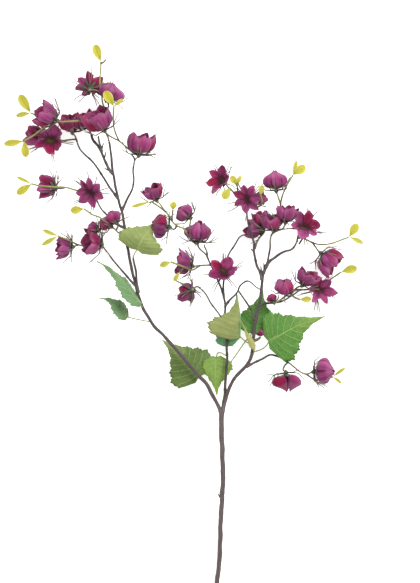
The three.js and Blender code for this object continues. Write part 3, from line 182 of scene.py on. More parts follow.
# Toothed leaves: the rib from base to tip, the stalk that holds it, half widths in mm and folds in
# degrees, left and right, and its colours at base and tip. Some also have a roll in degrees, a right
# half whose base hangs back, teeth that are so many times as large, or a left half of another colour.
LEAVES = {
    "left_front": leaf([(137, 250, 60), (141, 242, 68), (147, 232, 67), (154, 223, 54)],
        [(133.2, 258, 57), (134.5, 254, 59.5)], (32, 32), (-8, 6), (PALE_OLIVE, PALE_OLIVE)),
    "left_long": leaf([(141, 304, 54), (132, 293, 59), (121, 279, 60), (109, 268, 56), (97, 261, 48)],
        [(142.5, 307, 49), (141.5, 306, 51)], (19, 22), (10, 12), (SAGE, SAGE), roll=62, frayed=2.4),
    "left_small": leaf([(127, 318, 46), (120, 307, 50), (111, 300, 48), (100, 298, 40)],
        [(151.8, 322, 42.6), (138, 319.5, 44)], (15, 15), (6, 10), (SAGE, SAGE), roll=48, frayed=1.8),
    "left_under": leaf([(199, 377, 27), (190, 367, 25), (177, 353, 24), (161, 339, 20)],
        [(203.3, 381, 36.3), (202.5, 380, 31), (201, 378.5, 28)], (34, 33), (4, 4), (DEEP, PALE_OLIVE)),
    "middle_hang": leaf([(216, 357, 26), (215.5, 368, 26), (216, 382, 24), (217, 397, 18)],
        [(226.9, 356, 33.2), (224, 354.5, 30), (221, 353, 28), (218, 353, 27)],
        (24, 18), (8, -4), (FRESH, LIME)),
    "middle_fold": leaf([(240, 338, 41), (240.5, 326, 44), (240, 312, 44), (237, 292, 40)],
        [(251, 345, 44.5), (245, 341, 42)],
        (45, 38), (-4, 154), (BLUE_GREEN, BLUE_GREEN), hang=0.9, left_tone=OLIVE_TAN),
    "right_back": leaf([(253, 333, 37), (255, 322, 35), (259, 306, 34), (263, 288, 30)],
        [(226.8, 368, 33), (229.5, 364, 34.5), (236, 355, 37), (245, 342, 39), (250, 336, 39)],
        (26, 33), (8, 2), (GRASS, GRASS), roll=-4),
    "right_front": leaf([(268, 341, 50), (279, 335.5, 55), (299, 325, 57), (326, 316, 48)],
        [(252, 352, 42), (260, 350, 45), (266, 346, 48)], (35, 39), (4, 4), (GRASS, FRESH)),
    "right_tan": leaf([(254, 350, 48), (251, 342, 50), (246, 332, 50), (240.5, 319, 50)],
        [(252.8, 355, 43.4), (254, 352, 46.5)], (5, 5), (20, 20), (TAN, TAN)),
}

# Lanterns: the foot, the way each faces and its lift in degrees, its mouth radius and depth in mm, how
# open it is, how many lobes it has, how crimson it is and how dark, which is darker cloth and painted
# shade. Some also have the way that the throat's slit runs and the side where the crimson lobes lie, in
# degrees, how far up the skin their lobes part, how deep the valleys between the lobes are, and how far
# round the lobes are turned.
LANTERNS = {
    "top": lantern((90, 89, 72), 100, -62, 14.5, 18, 1.5, 6, 0.15, 0.5, blush=60, cut=0.56),
    "dome": lantern((107, 99, 50), 70, 8, 22, 23, 0.12, 6, 0.25, 0.1, blush=180),
    "corner": lantern((54.5, 120, 60), 148, 12, 15.5, 25, 0.8, 5, 0.45, 0.05, blush=190),
    "west": lantern((51, 140, 30), 160, 76, 19, 18, 1.45, 5, 0.4, 0, slit=100, blush=270, cut=0.5),
    "far_west": lantern((42, 137, 17), 168, -4, 14, 23, 0.9, 5, 0.5, 0.2),
    "crimson": lantern((72, 131, 34), 97, 22, 13.5, 22, 0.9, 5, 1, 0.2),
    "narrow": lantern((88, 127, 42), 112, 8, 12, 22, 0.7, 5, 0.2, 0.1),
    "crown": lantern((104, 130, 62), 118, 14, 17.5, 28, 0.75, 5, 0.3, 0.3),
    "shoulder": lantern((139, 154, 57), 84, 8, 18, 27, 0.6, 5, 0.35, 0.25, blush=40),
    "outer": lantern((55, 188, 52), 172, -18, 15.5, 20, 1.1, 6, 0.3, 0.3),
    "star": lantern((91, 193, 44), 180, 78, 14.5, 15, 2, 7, 0, 0.45, slit=62),
    "pair_a": lantern((110, 226, 51), 150, 10, 10.5, 16, 0.25, 5, 0.35, 0.05, blush=200),
    "pair_b": lantern((116, 222, 55), 118, 12, 10.5, 17, 0.25, 5, 0.15, 0),
    "small": lantern((97, 229.5, 53), 168, 5, 9, 13, 0.4, 5, 0.2, 0.3),
    "low": lantern((100, 244, 50), 174, 16, 16, 22, 1, 5, 0.6, 0.1, blush=90),
    "side": lantern((71, 247, 42), 178, 8, 13.5, 19, 0.9, 5, 0.3, 0.3, blush=180),
    "mid_a": lantern((156, 199, 52), 112, 14, 12.5, 20, 0.85, 5, 0.3, 0.15, blush=60),
    "mid_b": lantern((168, 227, 60), 172, 4, 15, 22, 0.2, 5, 0.5, 0.3),
    "mid_c": lantern((189, 217, 60), 140, 8, 12.5, 19, 0.3, 5, 0.25, 0.1, blush=150),
    "mid_d": lantern((197.5, 241, 54), 84, 8, 18, 25, 0.35, 5, 0.35, 0.2, blush=60),
    "mid_e": lantern((191, 266, 48), 168, 8, 13.5, 21, 0.9, 5, 0.3, 0.2, blush=180),
    "back": lantern((191, 290, 60), 200, -52, 12, 15, 1.2, 5, 0.2, 0.35, cut=0.56),
    "eye": lantern((224, 273, 48), 105, 66, 15.5, 17, 1.45, 5, 0.4, 0.3, slit=30, blush=135, cut=0.55),
    "north": lantern((222.5, 181, 46), 150, 52, 15, 17, 1.45, 5, 0.3, 0.25, slit=60, blush=190, cut=0.55),
    "heart": lantern((247, 200, 52), 90, 80, 15, 15, 2, 7, 0.1, 0.7, slit=12),
    "heart_small": lantern((256, 200, 42), 25, 0, 8, 14, 0.5, 5, 0.2, 0.3),
    "inner": lantern((261, 231, 32), 165, 4, 13.5, 22, 0.9, 5, 0.45, 0.3, blush=200),
    "inner_top": lantern((262, 225, 36), 100, 6, 9.5, 18, 0.7, 5, 0.4, 0.35),
    "bowl": lantern((273, 229, 50), 94, 18, 13.5, 19, 0.8, 5, 0.55, 0.1, blush=0),
    "closed": lantern((276, 189.5, 56), 94, 4, 15.5, 26, 0, 5, 0.05, 0),
    "pale": lantern((285.5, 221, 57), 84, 8, 14.5, 20, 0.8, 5, 0.25, 0.1, blush=60),
    "east": lantern((304, 227.5, 48), 60, 64, 17, 17, 1.5, 6, 0.4, 0.4, slit=20, blush=45, cut=0.55),
    "far_east": lantern((322, 254, 18), -42, 2, 16.5, 26, 0.6, 5, 0.35, 0.15, blush=10),
    "south": lantern((303, 284, 47), 62, 14, 13.5, 19, 0.9, 5, 0.2, 0.1),
    "slit": lantern((318.5, 290, 34), 0, 62, 16, 17, 1.6, 6, 0.1, 0.3, slit=84, cut=0.52),
    "round": lantern((284, 291, 52), 92, 40, 12.5, 18, 0.14, 5, 0.4, 0.05, blush=-40),
    "bud": lantern((273, 301, 56), 112, 8, 6, 10, 0.3, 5, 0.5, 0.2),
    "bud_low": lantern((261, 336.4, 44.5), 98, 6, 4.6, 9, 0.2, 5, 0.5, 0.25),
    "hanging": lantern((286, 374, 42), -84, 6, 18.5, 25, 0.12, 4, 0.8, 0.2, blush=180, cut=0.7, valley=0.42,
        spin=34),
    "last": lantern((315, 372, 38), 2, 8, 16.5, 26, 0.22, 5, 0.6, 0.45),
}

# Sprays: the lanterns whose calyces they carry, their thin stalks, and their leaflets. Each leaflet has the
# number of the stalk that it ends, its tip and its width.
SPRAYS = {
    "top": (["crown", "dome", "top", "shoulder"], [
        [(109, 141, 57), (107, 134, 58), (105.5, 131.5, 60)],
        [(106.5, 134, 58), (113, 138, 57), (119, 141, 56), (125, 146, 52), (132, 152, 50), (138, 155, 54)],
        [(119, 141, 56), (116, 134, 60), (114, 127, 66), (113.6, 117, 74), (114.2, 107, 82)],
        [(105.5, 132, 58), (108, 122, 52), (107, 112, 58), (103, 104, 66), (102, 97, 70), (100.3, 88, 70),
         (100, 80, 70), (101, 70, 70), (101, 62, 70)],
        [(106.5, 111, 59), (108.5, 107, 54), (108, 103, 49), (105.8, 100.4, 49)],
        [(101.5, 94, 70), (97, 91, 73), (92.5, 88.5, 76)],
        [(101, 64, 70), (104, 62.5, 71), (106, 60, 72)]
    ], [(3, (95, 45, 72), 1), (2, (105, 92, 88), 1), (2, (123, 100, 84), 0.45)]),
    "corner": (["narrow", "corner"], [
        [(91, 134, 43), (89.5, 130, 42.5)],
        [(88.5, 129, 43), (86, 124, 54), (82, 121.5, 63), (72, 121.5, 66), (62, 122, 64), (57, 122, 61)],
        [(57, 122.5, 61), (50, 124, 46), (42, 119, 42), (35, 115, 46), (31, 113, 48)],
        [(57, 122.5, 61), (50, 126, 60), (43, 129, 58), (33, 136, 54), (24, 141, 50)]
    ], [(2, (19.5, 95, 52), 1.1), (2, (16, 116, 46), 0.6), (3, (4, 144, 48), 0.8),
        (3, (26, 157, 47), 0.9)]),
    "west": (["crimson", "west", "far_west"], [
        [(77, 142, 29), (75, 136, 30), (73, 133, 32)],
        [(76, 139, 29.3), (70, 139.5, 26), (62, 140.5, 24), (55, 141, 25), (54, 140.6, 27)],
        [(62, 140.5, 24), (52, 139, 17), (46, 137.5, 14.8)]
    ], []),
    "star": (["star", "outer"], [
        [(98, 203, 40), (96, 199, 38.5), (92, 195, 39), (91.1, 193.4, 41)],
        [(93, 196, 38.8), (84, 192, 40), (75, 190, 46), (66, 187.5, 60), (52, 187, 70), (40, 186, 66),
         (32, 184, 60)],
        [(66, 187.5, 60), (61, 188.5, 58), (57, 188.2, 54)]
    ], [(1, (17, 177, 62), 0.4), (1, (17, 194, 58), 0.9)]),
    "pair": (["pair_a", "pair_b"], [
        [(125.3, 235.5, 49.3), (119, 233, 54), (114, 228.5, 54), (112, 226, 52.5)],
        [(116, 230.5, 54), (118, 226, 54.5), (117.2, 223.6, 54.8)],
        [(112.5, 226.7, 53), (106, 222, 66), (99, 217, 68), (93, 215, 66), (88, 211.5, 64), (84, 209, 63)]
    ], [(2, (71, 211, 64), 0.9)]),
    "low": (["low", "small", "side"], [
        [(107, 252, 44), (104, 248, 45.5), (101.5, 244.8, 49)],
        [(103, 247, 46), (102.5, 240, 44), (101.5, 234, 48), (98.5, 230, 52.5)],
        [(103, 247, 46), (94, 250, 34), (86, 247, 34), (78, 245, 38), (73, 246.5, 41)],
        [(78, 245, 38), (68, 240, 56), (58, 236, 54)]
    ], [(3, (43, 230, 56), 0.5), (3, (42, 245, 52), 0.55)]),
    "middle": (["mid_a", "mid_b", "mid_c", "mid_d"], [
        [(198.5, 247, 49), (197.6, 243.5, 52)],
        [(197.9, 245, 51), (193, 242, 58), (187, 233, 66), (183, 228.5, 66), (177, 226, 65), (172, 221, 61),
         (169, 216, 58.5), (165, 211, 57), (160, 204, 55), (156.8, 200.5, 53)],
        [(187, 233, 66), (189.8, 226, 64), (189.9, 219, 61)],
        [(177, 226, 65), (174, 229.5, 63), (169.6, 227.6, 60.5)],
        [(166, 212, 57.3), (158, 206, 60), (151, 201.5, 60)],
        [(172, 221, 61), (172.5, 214, 62), (173, 210, 62)]
    ], [(4, (132, 207, 62), 0.4), (5, (174, 202, 64), 0.8)]),
    "middle_low": (["mid_e"], [
        [(211, 265, 45), (200, 265.5, 47), (193.5, 266, 48)],
        [(200, 265.5, 47), (192, 270, 60), (184, 267, 66), (171, 262, 68)],
        [(184, 267, 66), (182, 270, 66), (180, 272, 66)]
    ], [(1, (160, 266, 68), 0.7), (2, (174, 281, 66), 0.5)]),
    "back": (["back"], [
        [(200, 288, 57), (197, 286.5, 61), (193.5, 288.5, 63), (191.5, 289.8, 62)]
    ], []),
    "eye": (["eye"], [
        [(224.1, 277.5, 38.4), (222.6, 275, 42), (222, 273.5, 45)]
    ], []),
    "heart": (["heart", "north", "heart_small"], [
        [(247, 208, 50), (247, 203, 47), (247, 200.6, 48.5)],
        [(247, 203.5, 47.4), (242, 198, 44), (237, 195, 40), (230, 189, 40), (224, 183.5, 43)],
        [(247, 203.5, 47.4), (252, 202, 42), (254.5, 200.8, 41.8)],
        [(237, 195, 40), (233, 192, 52), (230, 188, 62)],
        [(237, 195, 40), (237.5, 190, 48), (237, 185, 54)],
        [(250, 202.5, 43.5), (254, 206.5, 46), (260, 206, 54), (262, 201, 64), (260.5, 195, 70)]
    ], [(3, (223.5, 199, 66), 1), (4, (231, 176, 57), 0.8), (4, (241, 176, 55), 0.5),
        (5, (262, 185.5, 72), 0.7)]),
    "inner": (["inner", "inner_top"], [
        [(259, 238, 44), (262, 235, 36), (264, 232, 32.5), (262.8, 231.4, 32)],
        [(264, 232, 32.5), (264.5, 229, 34), (262, 226.5, 36)]
    ], []),
    "upper": (["bowl", "pale", "closed"], [
        [(271, 236, 53), (273, 232, 51), (273.1, 230, 50.5)],
        [(272.2, 233.3, 51.6), (277, 231, 52), (283, 228.5, 55), (285.4, 223, 57)],
        [(277, 231, 52), (279, 226, 42), (280, 220, 37), (280.5, 212, 39), (280.5, 205, 45),
         (278.5, 198, 53), (276.3, 191, 56)],
        [(280.5, 205, 45), (281.5, 199, 51), (283, 194, 56), (286, 187, 58), (290, 180, 60), (293, 175, 61)]
    ], [(3, (296.5, 161, 63), 0.5), (3, (305, 166, 62), 1)]),
    "east": (["east", "far_east"], [
        [(297, 242, 43), (298, 236, 42), (301, 230, 42), (304, 226.6, 44)],
        [(297.9, 238, 42.2), (303, 238, 42), (308, 240.5, 43), (313, 243, 44)],
        [(311.5, 242.2, 43.7), (318, 244.3, 46), (325, 244.5, 49), (333, 243, 52), (341, 240, 54),
         (349, 237, 55)],
        [(312.4, 242.7, 43.9), (316, 247.5, 38), (319, 251.5, 25), (321.2, 254, 15)],
        [(303, 238, 42), (301, 241, 43), (299, 244, 45)]
    ], [(2, (357.5, 224, 57), 1), (2, (363, 243.5, 55), 0.55)]),
    "south": (["south", "slit", "round", "bud"], [
        [(292, 293, 41), (297, 287.5, 42), (301.5, 285, 45.5)],
        [(303.8, 289.8, 31.4), (309, 289.5, 29), (315, 290, 29), (316.8, 290, 31)],
        [(295, 289.4, 42), (301, 289.6, 35), (307, 289.5, 29.6)],
        [(294, 290.5, 41.6), (290, 293, 47), (286, 293, 49), (284.2, 291.5, 50)],
        [(290, 293, 47), (283, 298, 54), (277, 302, 56), (273.8, 302, 56)],
        [(315, 290, 29), (322, 285, 26), (331, 279, 30), (337, 275, 41), (341, 272, 50)],
        [(290, 293, 47), (294, 297, 50), (300, 299.5, 52)]
    ], [(6, (311, 299, 53), 0.7), (5, (357, 268, 53), 1)]),
    "bottom": (["hanging", "last"], [
        [(286, 361, 39), (289, 363, 39.5), (293, 366, 39), (299, 371, 38), (306, 374, 37),
         (312.5, 372.6, 37.5)],
        [(288, 362.2, 39.3), (284.5, 366, 42), (283.2, 370, 43), (284.6, 373.5, 42.6)],
        [(306, 374, 37), (316, 380, 28), (326, 379, 26), (333, 377, 28)]
    ], [(2, (345.5, 368, 30), 0.4), (2, (341.5, 383.5, 28), 0.35)]),
}

# Six lanterns share the piece of the lantern that they grow into
PARTNER = {"crimson": "narrow", "pair_b": "pair_a", "low": "small", "inner": "inner_top", "bowl": "pale",
           "slit": "south"}

# Shares of the mouth radius and of the depth, from a lantern's foot to its lobe tips
CLOSED_PROFILE = ((0, 0), (0.9, 0.23), (0.97, 0.62), (0.32, 1.0))
CUP_PROFILE = ((0, 0), (0.74, 0.2), (1.0, 0.62), (1.1, 1.0))
STAR_PROFILE = ((0, 0), (0.6, 0.34), (0.98, 0.66), (1.36, 0.8))
NOTCH = {"closed": 0.96, "cup": 0.7, "star": 0.66}  # how far up the skin two lobes stay joined
SWELL = 1.12  # how much larger the cloth is than its solid
LANTERN_ROWS, LOBE_COLUMNS = 20, 18
STAR = 1.5  # a lantern that is as open as this has lobes that don't lean
SPIKY = 1.4  # and from here on they are pointed
LOBE_ROOM = (0.72, 1.3)  # the share of the turn that a lobe takes, before they are made to fit
LOBE_REACH = (0.88, 1.14)
LOBE_FOLD = (0.74, 1.12)  # how far a lobe's end leans in or out
LOBE_DRAWS = {"curl": (-0.16, 0.24), "twist": (-0.24, 0.24), "cup": (-0.14, 0.18), "wave": (0, TURN),
              "peak": (0.32, 0.68), "round": (0.45, 1.0)}
CRIMSON_TINT, PINK_TINT = (0.65, 1), (0, 0.3)
BLUSH = {"side": 0.9, "own": 0.5, "from": 0.1, "to": 0.75}
SHADE_SPREAD = (-0.3, 0.45)
ROUNDNESS = 0.25  # how much of an arch there is in the outline of a lobe
RAGGED = 0.12  # how far the rim of the cloth is eaten away, as a share of a lobe
CREASE = 0.1  # how far the skin stands out along a lobe's rib and dips between two
VALLEY = {"cup": 0.1, "star": 0.03}  # how deep the fold between two lobes is, as a share of the radius
VALLEY_WIDTH = 0.2
FLUTE, FLUTES = 0.3, 23  # the small waves of the cloth, in mm, and how many radians of them a lobe has
CRUMPLE = {"cup": 0.13, "star": 0.15}  # how far the creased cloth stands in or out, as a share of the mouth
SHUT_BEND, SHUT_REACH, SHUT_CRUMPLE = 0.15, 0.1, 0.1  # what is left of these on a closed lantern
PURSED = 0.3  # how close the lobe tips of a closed lantern come, as a share of their room
SLIT_WIDTH = 0.4
SOFT_EDGE = 0.3  # the part of a lobe beside its neighbour, where it bends less and takes on its colours
NEIGHBOUR = 0.5
# The second layer of cloth inside a cup-shaped lantern, more crimson, and darker, as darker cloth and
# painted shade
LINING = {"mouth": 0.86, "depth": 0.94, "crimson": 0.45, "darker_cloth_and_painted_shade": 0.15, "seed": 37, "rows": 14,
          "columns": 12, "foot": 0.6}
LINED_MOUTH, LINED_OPEN = 9, 0.45

# Calyces: places along them from foot to lantern, and radii; then the sepals, from their base to their tip
CALYX_PROFILE = ((-1.0, 0.3), (-0.85, 0.5), (-0.62, 0.84), (-0.4, 1.0), (-0.2, 1.04), (-0.05, 0.9))
SEPALS, SEPAL_ROWS, SEPAL_HALF = 5, 7, radians(24)
SEPAL_SPAN, SEPAL_RISE = (0.02, 0.34), (0.4, 0.9)
SEPAL_OUT, SEPAL_BACK = 0.9, 0.4  # mm off the skin, and back from it

# Threads
MANY_THREADS, FEW_THREADS, SOLID_THREADS = 12, 7, 4
BARELY_OPEN = 0.13  # a lantern that is less open has fewer threads too
CALYX_SIDES = 5
CALYX_RING = -0.4  # where the threads leave the calyx, as a share of its length, and its radius there
CALYX_NARROW = 0.95
SHOULDER_AT, RIM_AT = 0.33, (0.66, 1)  # places on the profile that a thread bends round and reaches past
THREAD_BEND = {"share": 0.9, "out": 1.8, "back": -0.5}
THREAD_TIP = 1.08
THREAD_RISE, EXTRA_RISE, EXTRA_TURN = (0.1, 0.75), (-0.25, 0.8), (0.2, 1.0)
THREAD_HOOK, THREAD_BOW = (-1.5, 2.5), 1.3
THREAD_TAPER = (1.05, 0.4)

# Leaves
LEAF_HALF = (0.3, 0.88, 1.0, 0.95, 0.8, 0.64, 0.46, 0.3, 0.16, 0.07, 0)  # half widths from base to tip
LEAF_ROWS, LEAF_COLUMNS = 154, 10  # the columns are those on each side of the rib
RIB_STEPS, RIB_RINGS = 40, 60
TEETH, SMALL_TEETH = 6, 3  # and so many small teeth on each
TOOTH = {"out": 0.09, "ahead": 0.4}
SMALL_TOOTH = {"out": 0.065, "ahead": 0.06}
SWEEP_BASE, SWEEP_TIP = -0.3, 0.3
VEINS, VEIN_LEAN = 8.5, 1.15  # side veins from base to tip, and how far their ends lie ahead
PILLOW, RIPPLE, DROOP, GROOVE = 0.5, 0.9, -1.2, 0.3  # relief of the cloth, in mm
RIPPLES = 5.2
USUAL_HALF = 34  # mm; a leaf's half width that droops by that much
TIP_TONE_FROM = 0.45
LEAF_GRAIN = (30, 12)
RIB_DROP, RIB_RADII = 0.35, (0.75, 0.15)
PETIOLE_END = 0.12  # how far a leaf's stalk runs on along the first stretch of its rib

# Leaflets
LEAFLET_WIDEST = 0.62  # the place of a leaflet's widest part, from base to tip
LEAFLET_ROWS, LEAFLET_COLUMNS = 22, 6
ARCH, GUTTER, LEAFLET_WAVE = 1.6, 0.25, 0.25
LEAFLET_DRAWS = ((-0.5, 0.5), (0, 6), (-0.25, 0.25))  # how it leans, where it waves and how it twists
BROAD_LEAFLET = 0.7  # a broader leaflet is yellow, a narrower one paler
BROAD_PALE, NARROW_PALE = (0, 0.5), (0.4, 0.9)
LEAFLET_GRAIN = (10, 4)

# Wood: knots from the foot of a strand on, their length and spacing in mm
FIRST_KNOT, TRUNK_KNOTS, TWIG_KNOTS = (8, 20), (60, 100), (18, 42)
KNOT_LENGTH, KNOT_END = 2.2, 6
THICK_STRAND, ROUND_STRAND = 2.2, 2  # radii from which a strand has smaller knots, and more sides
THICK_KNOT, THIN_KNOT = (0.06, 0.3), (0.16, 0.8)  # how far a knot stands out, and how dark it is
BARK_RADIUS = 1.08
TWIG_FOOT = {"rest": 0.85, "flare": 0.5, "length": 9, "rise": 0.15, "rise_length": 6}
END_LENGTH, END_RADIUS = 1.5, 0.55
OLIVE_END = 26
WANDER = 0.22  # mm that a strand strays from its curve
PHASE = (0, 6.3)
TRUNK_ROUND = 1.12  # how far the bark reaches below the trunk's middle, as a share of its radius
STUB_RADII, STUB_END = (1.35, 0.85), 0.6

# Green stalks: how far from its foot a stalk is thicker, and how far it is brownish, in mm
STALK_FOOT, BROWN_FOOT = 2.5, 60

# Added to a piece's number for its random draws
LOOSE_SEED, THREAD_SEED, EXTRA_SEED = 900, 500, 700
LANTERN_SEED, WOOD_SEED, STALK_SEED, LINE_SEED = 100, 300, 1000, 2000
STALKS_A_SPRAY, LINES_A_LANTERN = 20, 10


def mix(a, b, share):
    return a + (b - a) * share


def smooth(low, high, value):
    share = min(1, max(0, (value - low) / (high - low)))
    return share * share * (3 - 2 * share)


def zigzag(place):
    """Rises from 0 to 1 and falls back once in each unit."""
    return 1 - abs(2 * (place % 1) - 1)


def round_way(angle, across=Vector((1, 0, 0)), other=Vector((0, 1, 0))):
    """The direction at an angle between two that are square to each other."""
    return across * cos(angle) + other * sin(angle)


def turned(vector, angle, axis):
    made = vector.copy()
    made.rotate(Matrix.Rotation(angle, 3, axis))
    return made


def at(point):
    """A point of the layout in millimetres."""
    x, y, z = point
    return Vector(((x - MIDDLE_PX) * MM_PER_PX, ((TOP_PX + CUT_PX) / 2 - y) * MM_PER_PX, z))


def line_at(path):
    return [at(point) for point in path]


def grid(rows, columns, value):
    """A value at each place of a grid: t from base to tip, s from -1 at one margin to 1 at the other."""
    return [[value(i / rows, k / columns) for k in range(-columns, columns + 1)] for i in range(rows + 1)]


def add_object(name, data):
    obj = bpy.data.objects.new(name, data)
    bpy.context.scene.collection.objects.link(obj)
    return obj


def seeded(seed):
    """A small seeded generator: a function that draws a number between two others."""
    mask = 0xFFFFFFFF
    state = [seed & mask]

    def draw(low, high):
        state[0] = (state[0] + 0x6D2B79F5) & mask
        t = ((state[0] ^ (state[0] >> 15)) * (1 | state[0])) & mask
        t = ((t + ((t ^ (t >> 7)) * (61 | t))) ^ t) & mask
        return low + (high - low) * (t ^ (t >> 14)) / (mask + 1)
    return draw


def around(values, share):
    """The four values round a place on a line of them, and how far the place is past the second."""
    last = len(values) - 1
    place = min(max(share, 0), 0.999999) * last
    i = int(place)
    b, c = values[i], values[i + 1]
    a = values[i - 1] if i else 2 * b - c
    d = values[i + 2] if i + 2 <= last else 2 * c - b
    return a, b, c, d, place - i


def spline(values, share):
    """A smooth line through evenly spaced numbers."""
    a, b, c, d, t = around(values, share)
    return b + 0.5 * t * (c - a + t * (2 * a - 5 * b + 4 * c - d + t * (3 * (b - c) + d - a)))


def curve_point(points, share):
    """A point of the centripetal curve through the given points."""
    a, b, c, d, t = around(points, share)
    before, here, after = [max((q - p).length ** 0.5, 1e-4) for p, q in ((a, b), (b, c), (c, d))]
    start = ((b - a) / before - (c - a) / (before + here) + (c - b) / here) * here
    end = ((c - b) / here - (d - b) / (here + after) + (d - c) / after) * here
    return b + t * (start + t * (3 * (c - b) - 2 * start - end + t * (2 * (b - c) + start + end)))


def curve_along(points, share, step=1e-3):
    ahead = curve_point(points, min(share + step, 1))
    return (ahead - curve_point(points, max(share - step, 0))).normalized()


def resampled(points, spacing):
    """Points at even steps along the curve, and how far along it each lies."""
    count = 12 * (len(points) - 1)
    fine = [curve_point(points, k / count) for k in range(count + 1)]
    far = [0]
    for p, q in zip(fine, fine[1:]):
        far.append(far[-1] + (q - p).length)
    steps = max(2, round(far[-1] / spacing))
    places = [far[-1] * i / steps for i in range(steps + 1)]
    made, k = [], 0
    for want in places:
        while k < count - 1 and far[k + 1] < want:
            k += 1
        made.append(fine[k].lerp(fine[k + 1], (want - far[k]) / max(far[k + 1] - far[k], 1e-9)))
    return made, places


def rings_along(points, radii, sides):
    """Rings square to a line through points, turned as little as possible on the way."""
    across = Vector((0.31, 0.17, 1)).normalized()
    last = len(points) - 1
    turns = [TURN * j / sides for j in range(sides)]
    rings = []
    for i, p in enumerate(points):
        along = (points[min(i + 1, last)] - points[max(i - 1, 0)]).normalized()
        across = (across - along * across.dot(along)).normalized()
        other = along.cross(across)
        rings.append([p + round_way(turn, across, other) * radii[i] for turn in turns])
    return rings


class Piece:
    """Collects the points, faces, materials and shading values of one piece of the spray."""
    NUMBERS = ("rise", "across", "inner", "tint", "darker_cloth_and_painted_shade", "knot")
    KINDS = {"grain": ("FLOAT_VECTOR", "vector"), "tone": ("FLOAT_COLOR", "color")}
    TUBE_GRAIN = (5, 0.12)  # how large the pattern is round a strand and along it

    def __init__(self):
        self.points, self.faces, self.kinds, self.materials = [], [], [], []
        self.fields = {name: [] for name in (*self.NUMBERS, *self.KINDS)}

    def add(self, points, faces, material, **fields):
        """Adds points and faces. A field is one value, or a list with a value for each point."""
        base = len(self.points)
        if material not in self.materials:
            self.materials.append(material)
        self.points += points
        self.faces += [tuple(base + k for k in face) for face in faces]
        self.kinds += [self.materials.index(material)] * len(faces)
        plain = {"grain": points, "tone": WHITE}
        for name, held in self.fields.items():
            value = fields.get(name, plain.get(name, 0))
            held += value if isinstance(value, list) else [value] * len(points)

    def tube(self, points, radii, material, sides=8, ripple=None, **fields):
        """A closed round strand. Field lists hold one value for each ring."""
        turns = [TURN * j / sides for j in range(sides)]
        rings = rings_along(points, [1] * len(points) if ripple else radii, sides)
        if ripple:
            rings = [[p + (q - p) * (radii[i] * ripple(i, turn)) for turn, q in zip(turns, ring)]
                     for i, (p, ring) in enumerate(zip(points, rings))]
        last = (len(rings) - 1) * sides
        faces = [(i + j, i + (j + 1) % sides, i + (j + 1) % sides + sides, i + j + sides)
                 for i in range(0, last, sides) for j in range(sides)]
        faces += [tuple(reversed(range(sides))), tuple(range(last, last + sides))]
        spread = {name: [v for v in value for _ in range(sides)] if isinstance(value, list) else value
                  for name, value in fields.items()}
        far, grain = 0, []
        wide, long = self.TUBE_GRAIN
        for i in range(len(rings)):
            far += (points[i] - points[i - 1]).length if i else 0
            grain += [Vector((wide * cos(turn), wide * sin(turn), long * far)) for turn in turns]
        self.add([p for ring in rings for p in ring], faces, material, grain=grain, **spread)

    def sheet(self, rows, thickness, material, pole=None, **fields):
        """Thin cloth over a grid of points, with two faces that meet at its edge. Field grids hold one
        value for each point. A sheet with a pole goes round, and starts there."""
        count, last = len(rows[0]), len(rows) - 1

        def neighbour(i, j):
            i = min(max(i, -1 if pole else 0), last)
            if i < 0:
                return pole
            return rows[i][j % count if pole else min(max(j, 0), count - 1)]
        normals = []
        for i in range(last + 1):
            for j in range(count):
                up = neighbour(i + 1, j) - neighbour(i - 1, j)
                side = neighbour(i, j + 1) - neighbour(i, j - 1)
                normals.append(side.cross(up).normalized())
        flat = [p for row in rows for p in row]
        under, half = len(flat), thickness / 2
        points = [p + n * out for out in (half, -half) for p, n in zip(flat, normals)]
        faces = []
        for i in range(last):
            for j in range(count if pole else count - 1):
                a, b = i * count + j, i * count + (j + 1) % count
                face = (a, b, b + count, a + count)
                faces += [face, tuple(k + under for k in reversed(face))]
        edge = [last * count + j for j in range(count)]
        if not pole:
            edge = [*range(count), *range(2 * count - 1, last * count, count), *reversed(edge),
                    *range((last - 1) * count, 0, -count)]
        faces += [(a, a + under, b + under, b) for a, b in zip(edge, edge[1:] + edge[:1])]
        values = {name: [v for row in grid for v in row] * 2 if isinstance(grid, list) else grid
                  for name, grid in fields.items()}
        values["inner"] = [0.0] * under + [1.0] * under
        if pole:
            axis = sum(normals[:count], Vector()).normalized()
            base = len(points)
            points += [pole + axis * half, pole - axis * half]
            for j in range(count):
                k = (j + 1) % count
                faces += [(base, k, j), (base + 1, under + j, under + k)]
            at_pole = {"inner": [0.0, 1.0], "grain": [Vector()] * 2}
            for name, value in values.items():
                if isinstance(value, list):
                    value += at_pole.get(name, value[:1] * 2)
        self.add(points, faces, material, **values)

    def make(self, name, nodes):
        """Makes the Blender object, which stands for the given nodes."""
        mesh = bpy.data.meshes.new(name)
        mesh.from_pydata([p * MM for p in self.points], [], self.faces)
        for material in self.materials:
            mesh.materials.append(material)
        mesh.polygons.foreach_set("material_index", self.kinds)
        mesh.polygons.foreach_set("use_smooth", [True] * len(self.faces))
        for field, values in self.fields.items():
            kind, key = self.KINDS.get(field, ("FLOAT", "value"))
            if field in self.KINDS:
                values = [number for value in values for number in value]
            mesh.attributes.new(field, kind, "POINT").data.foreach_set(key, values)
        work = bmesh.new()
        work.from_mesh(mesh)
        bmesh.ops.recalc_face_normals(work, faces=work.faces)
        work.to_mesh(mesh)
        work.free()
        mesh.update()
        obj = add_object(name, mesh)
        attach(obj, "root")
        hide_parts(*nodes)


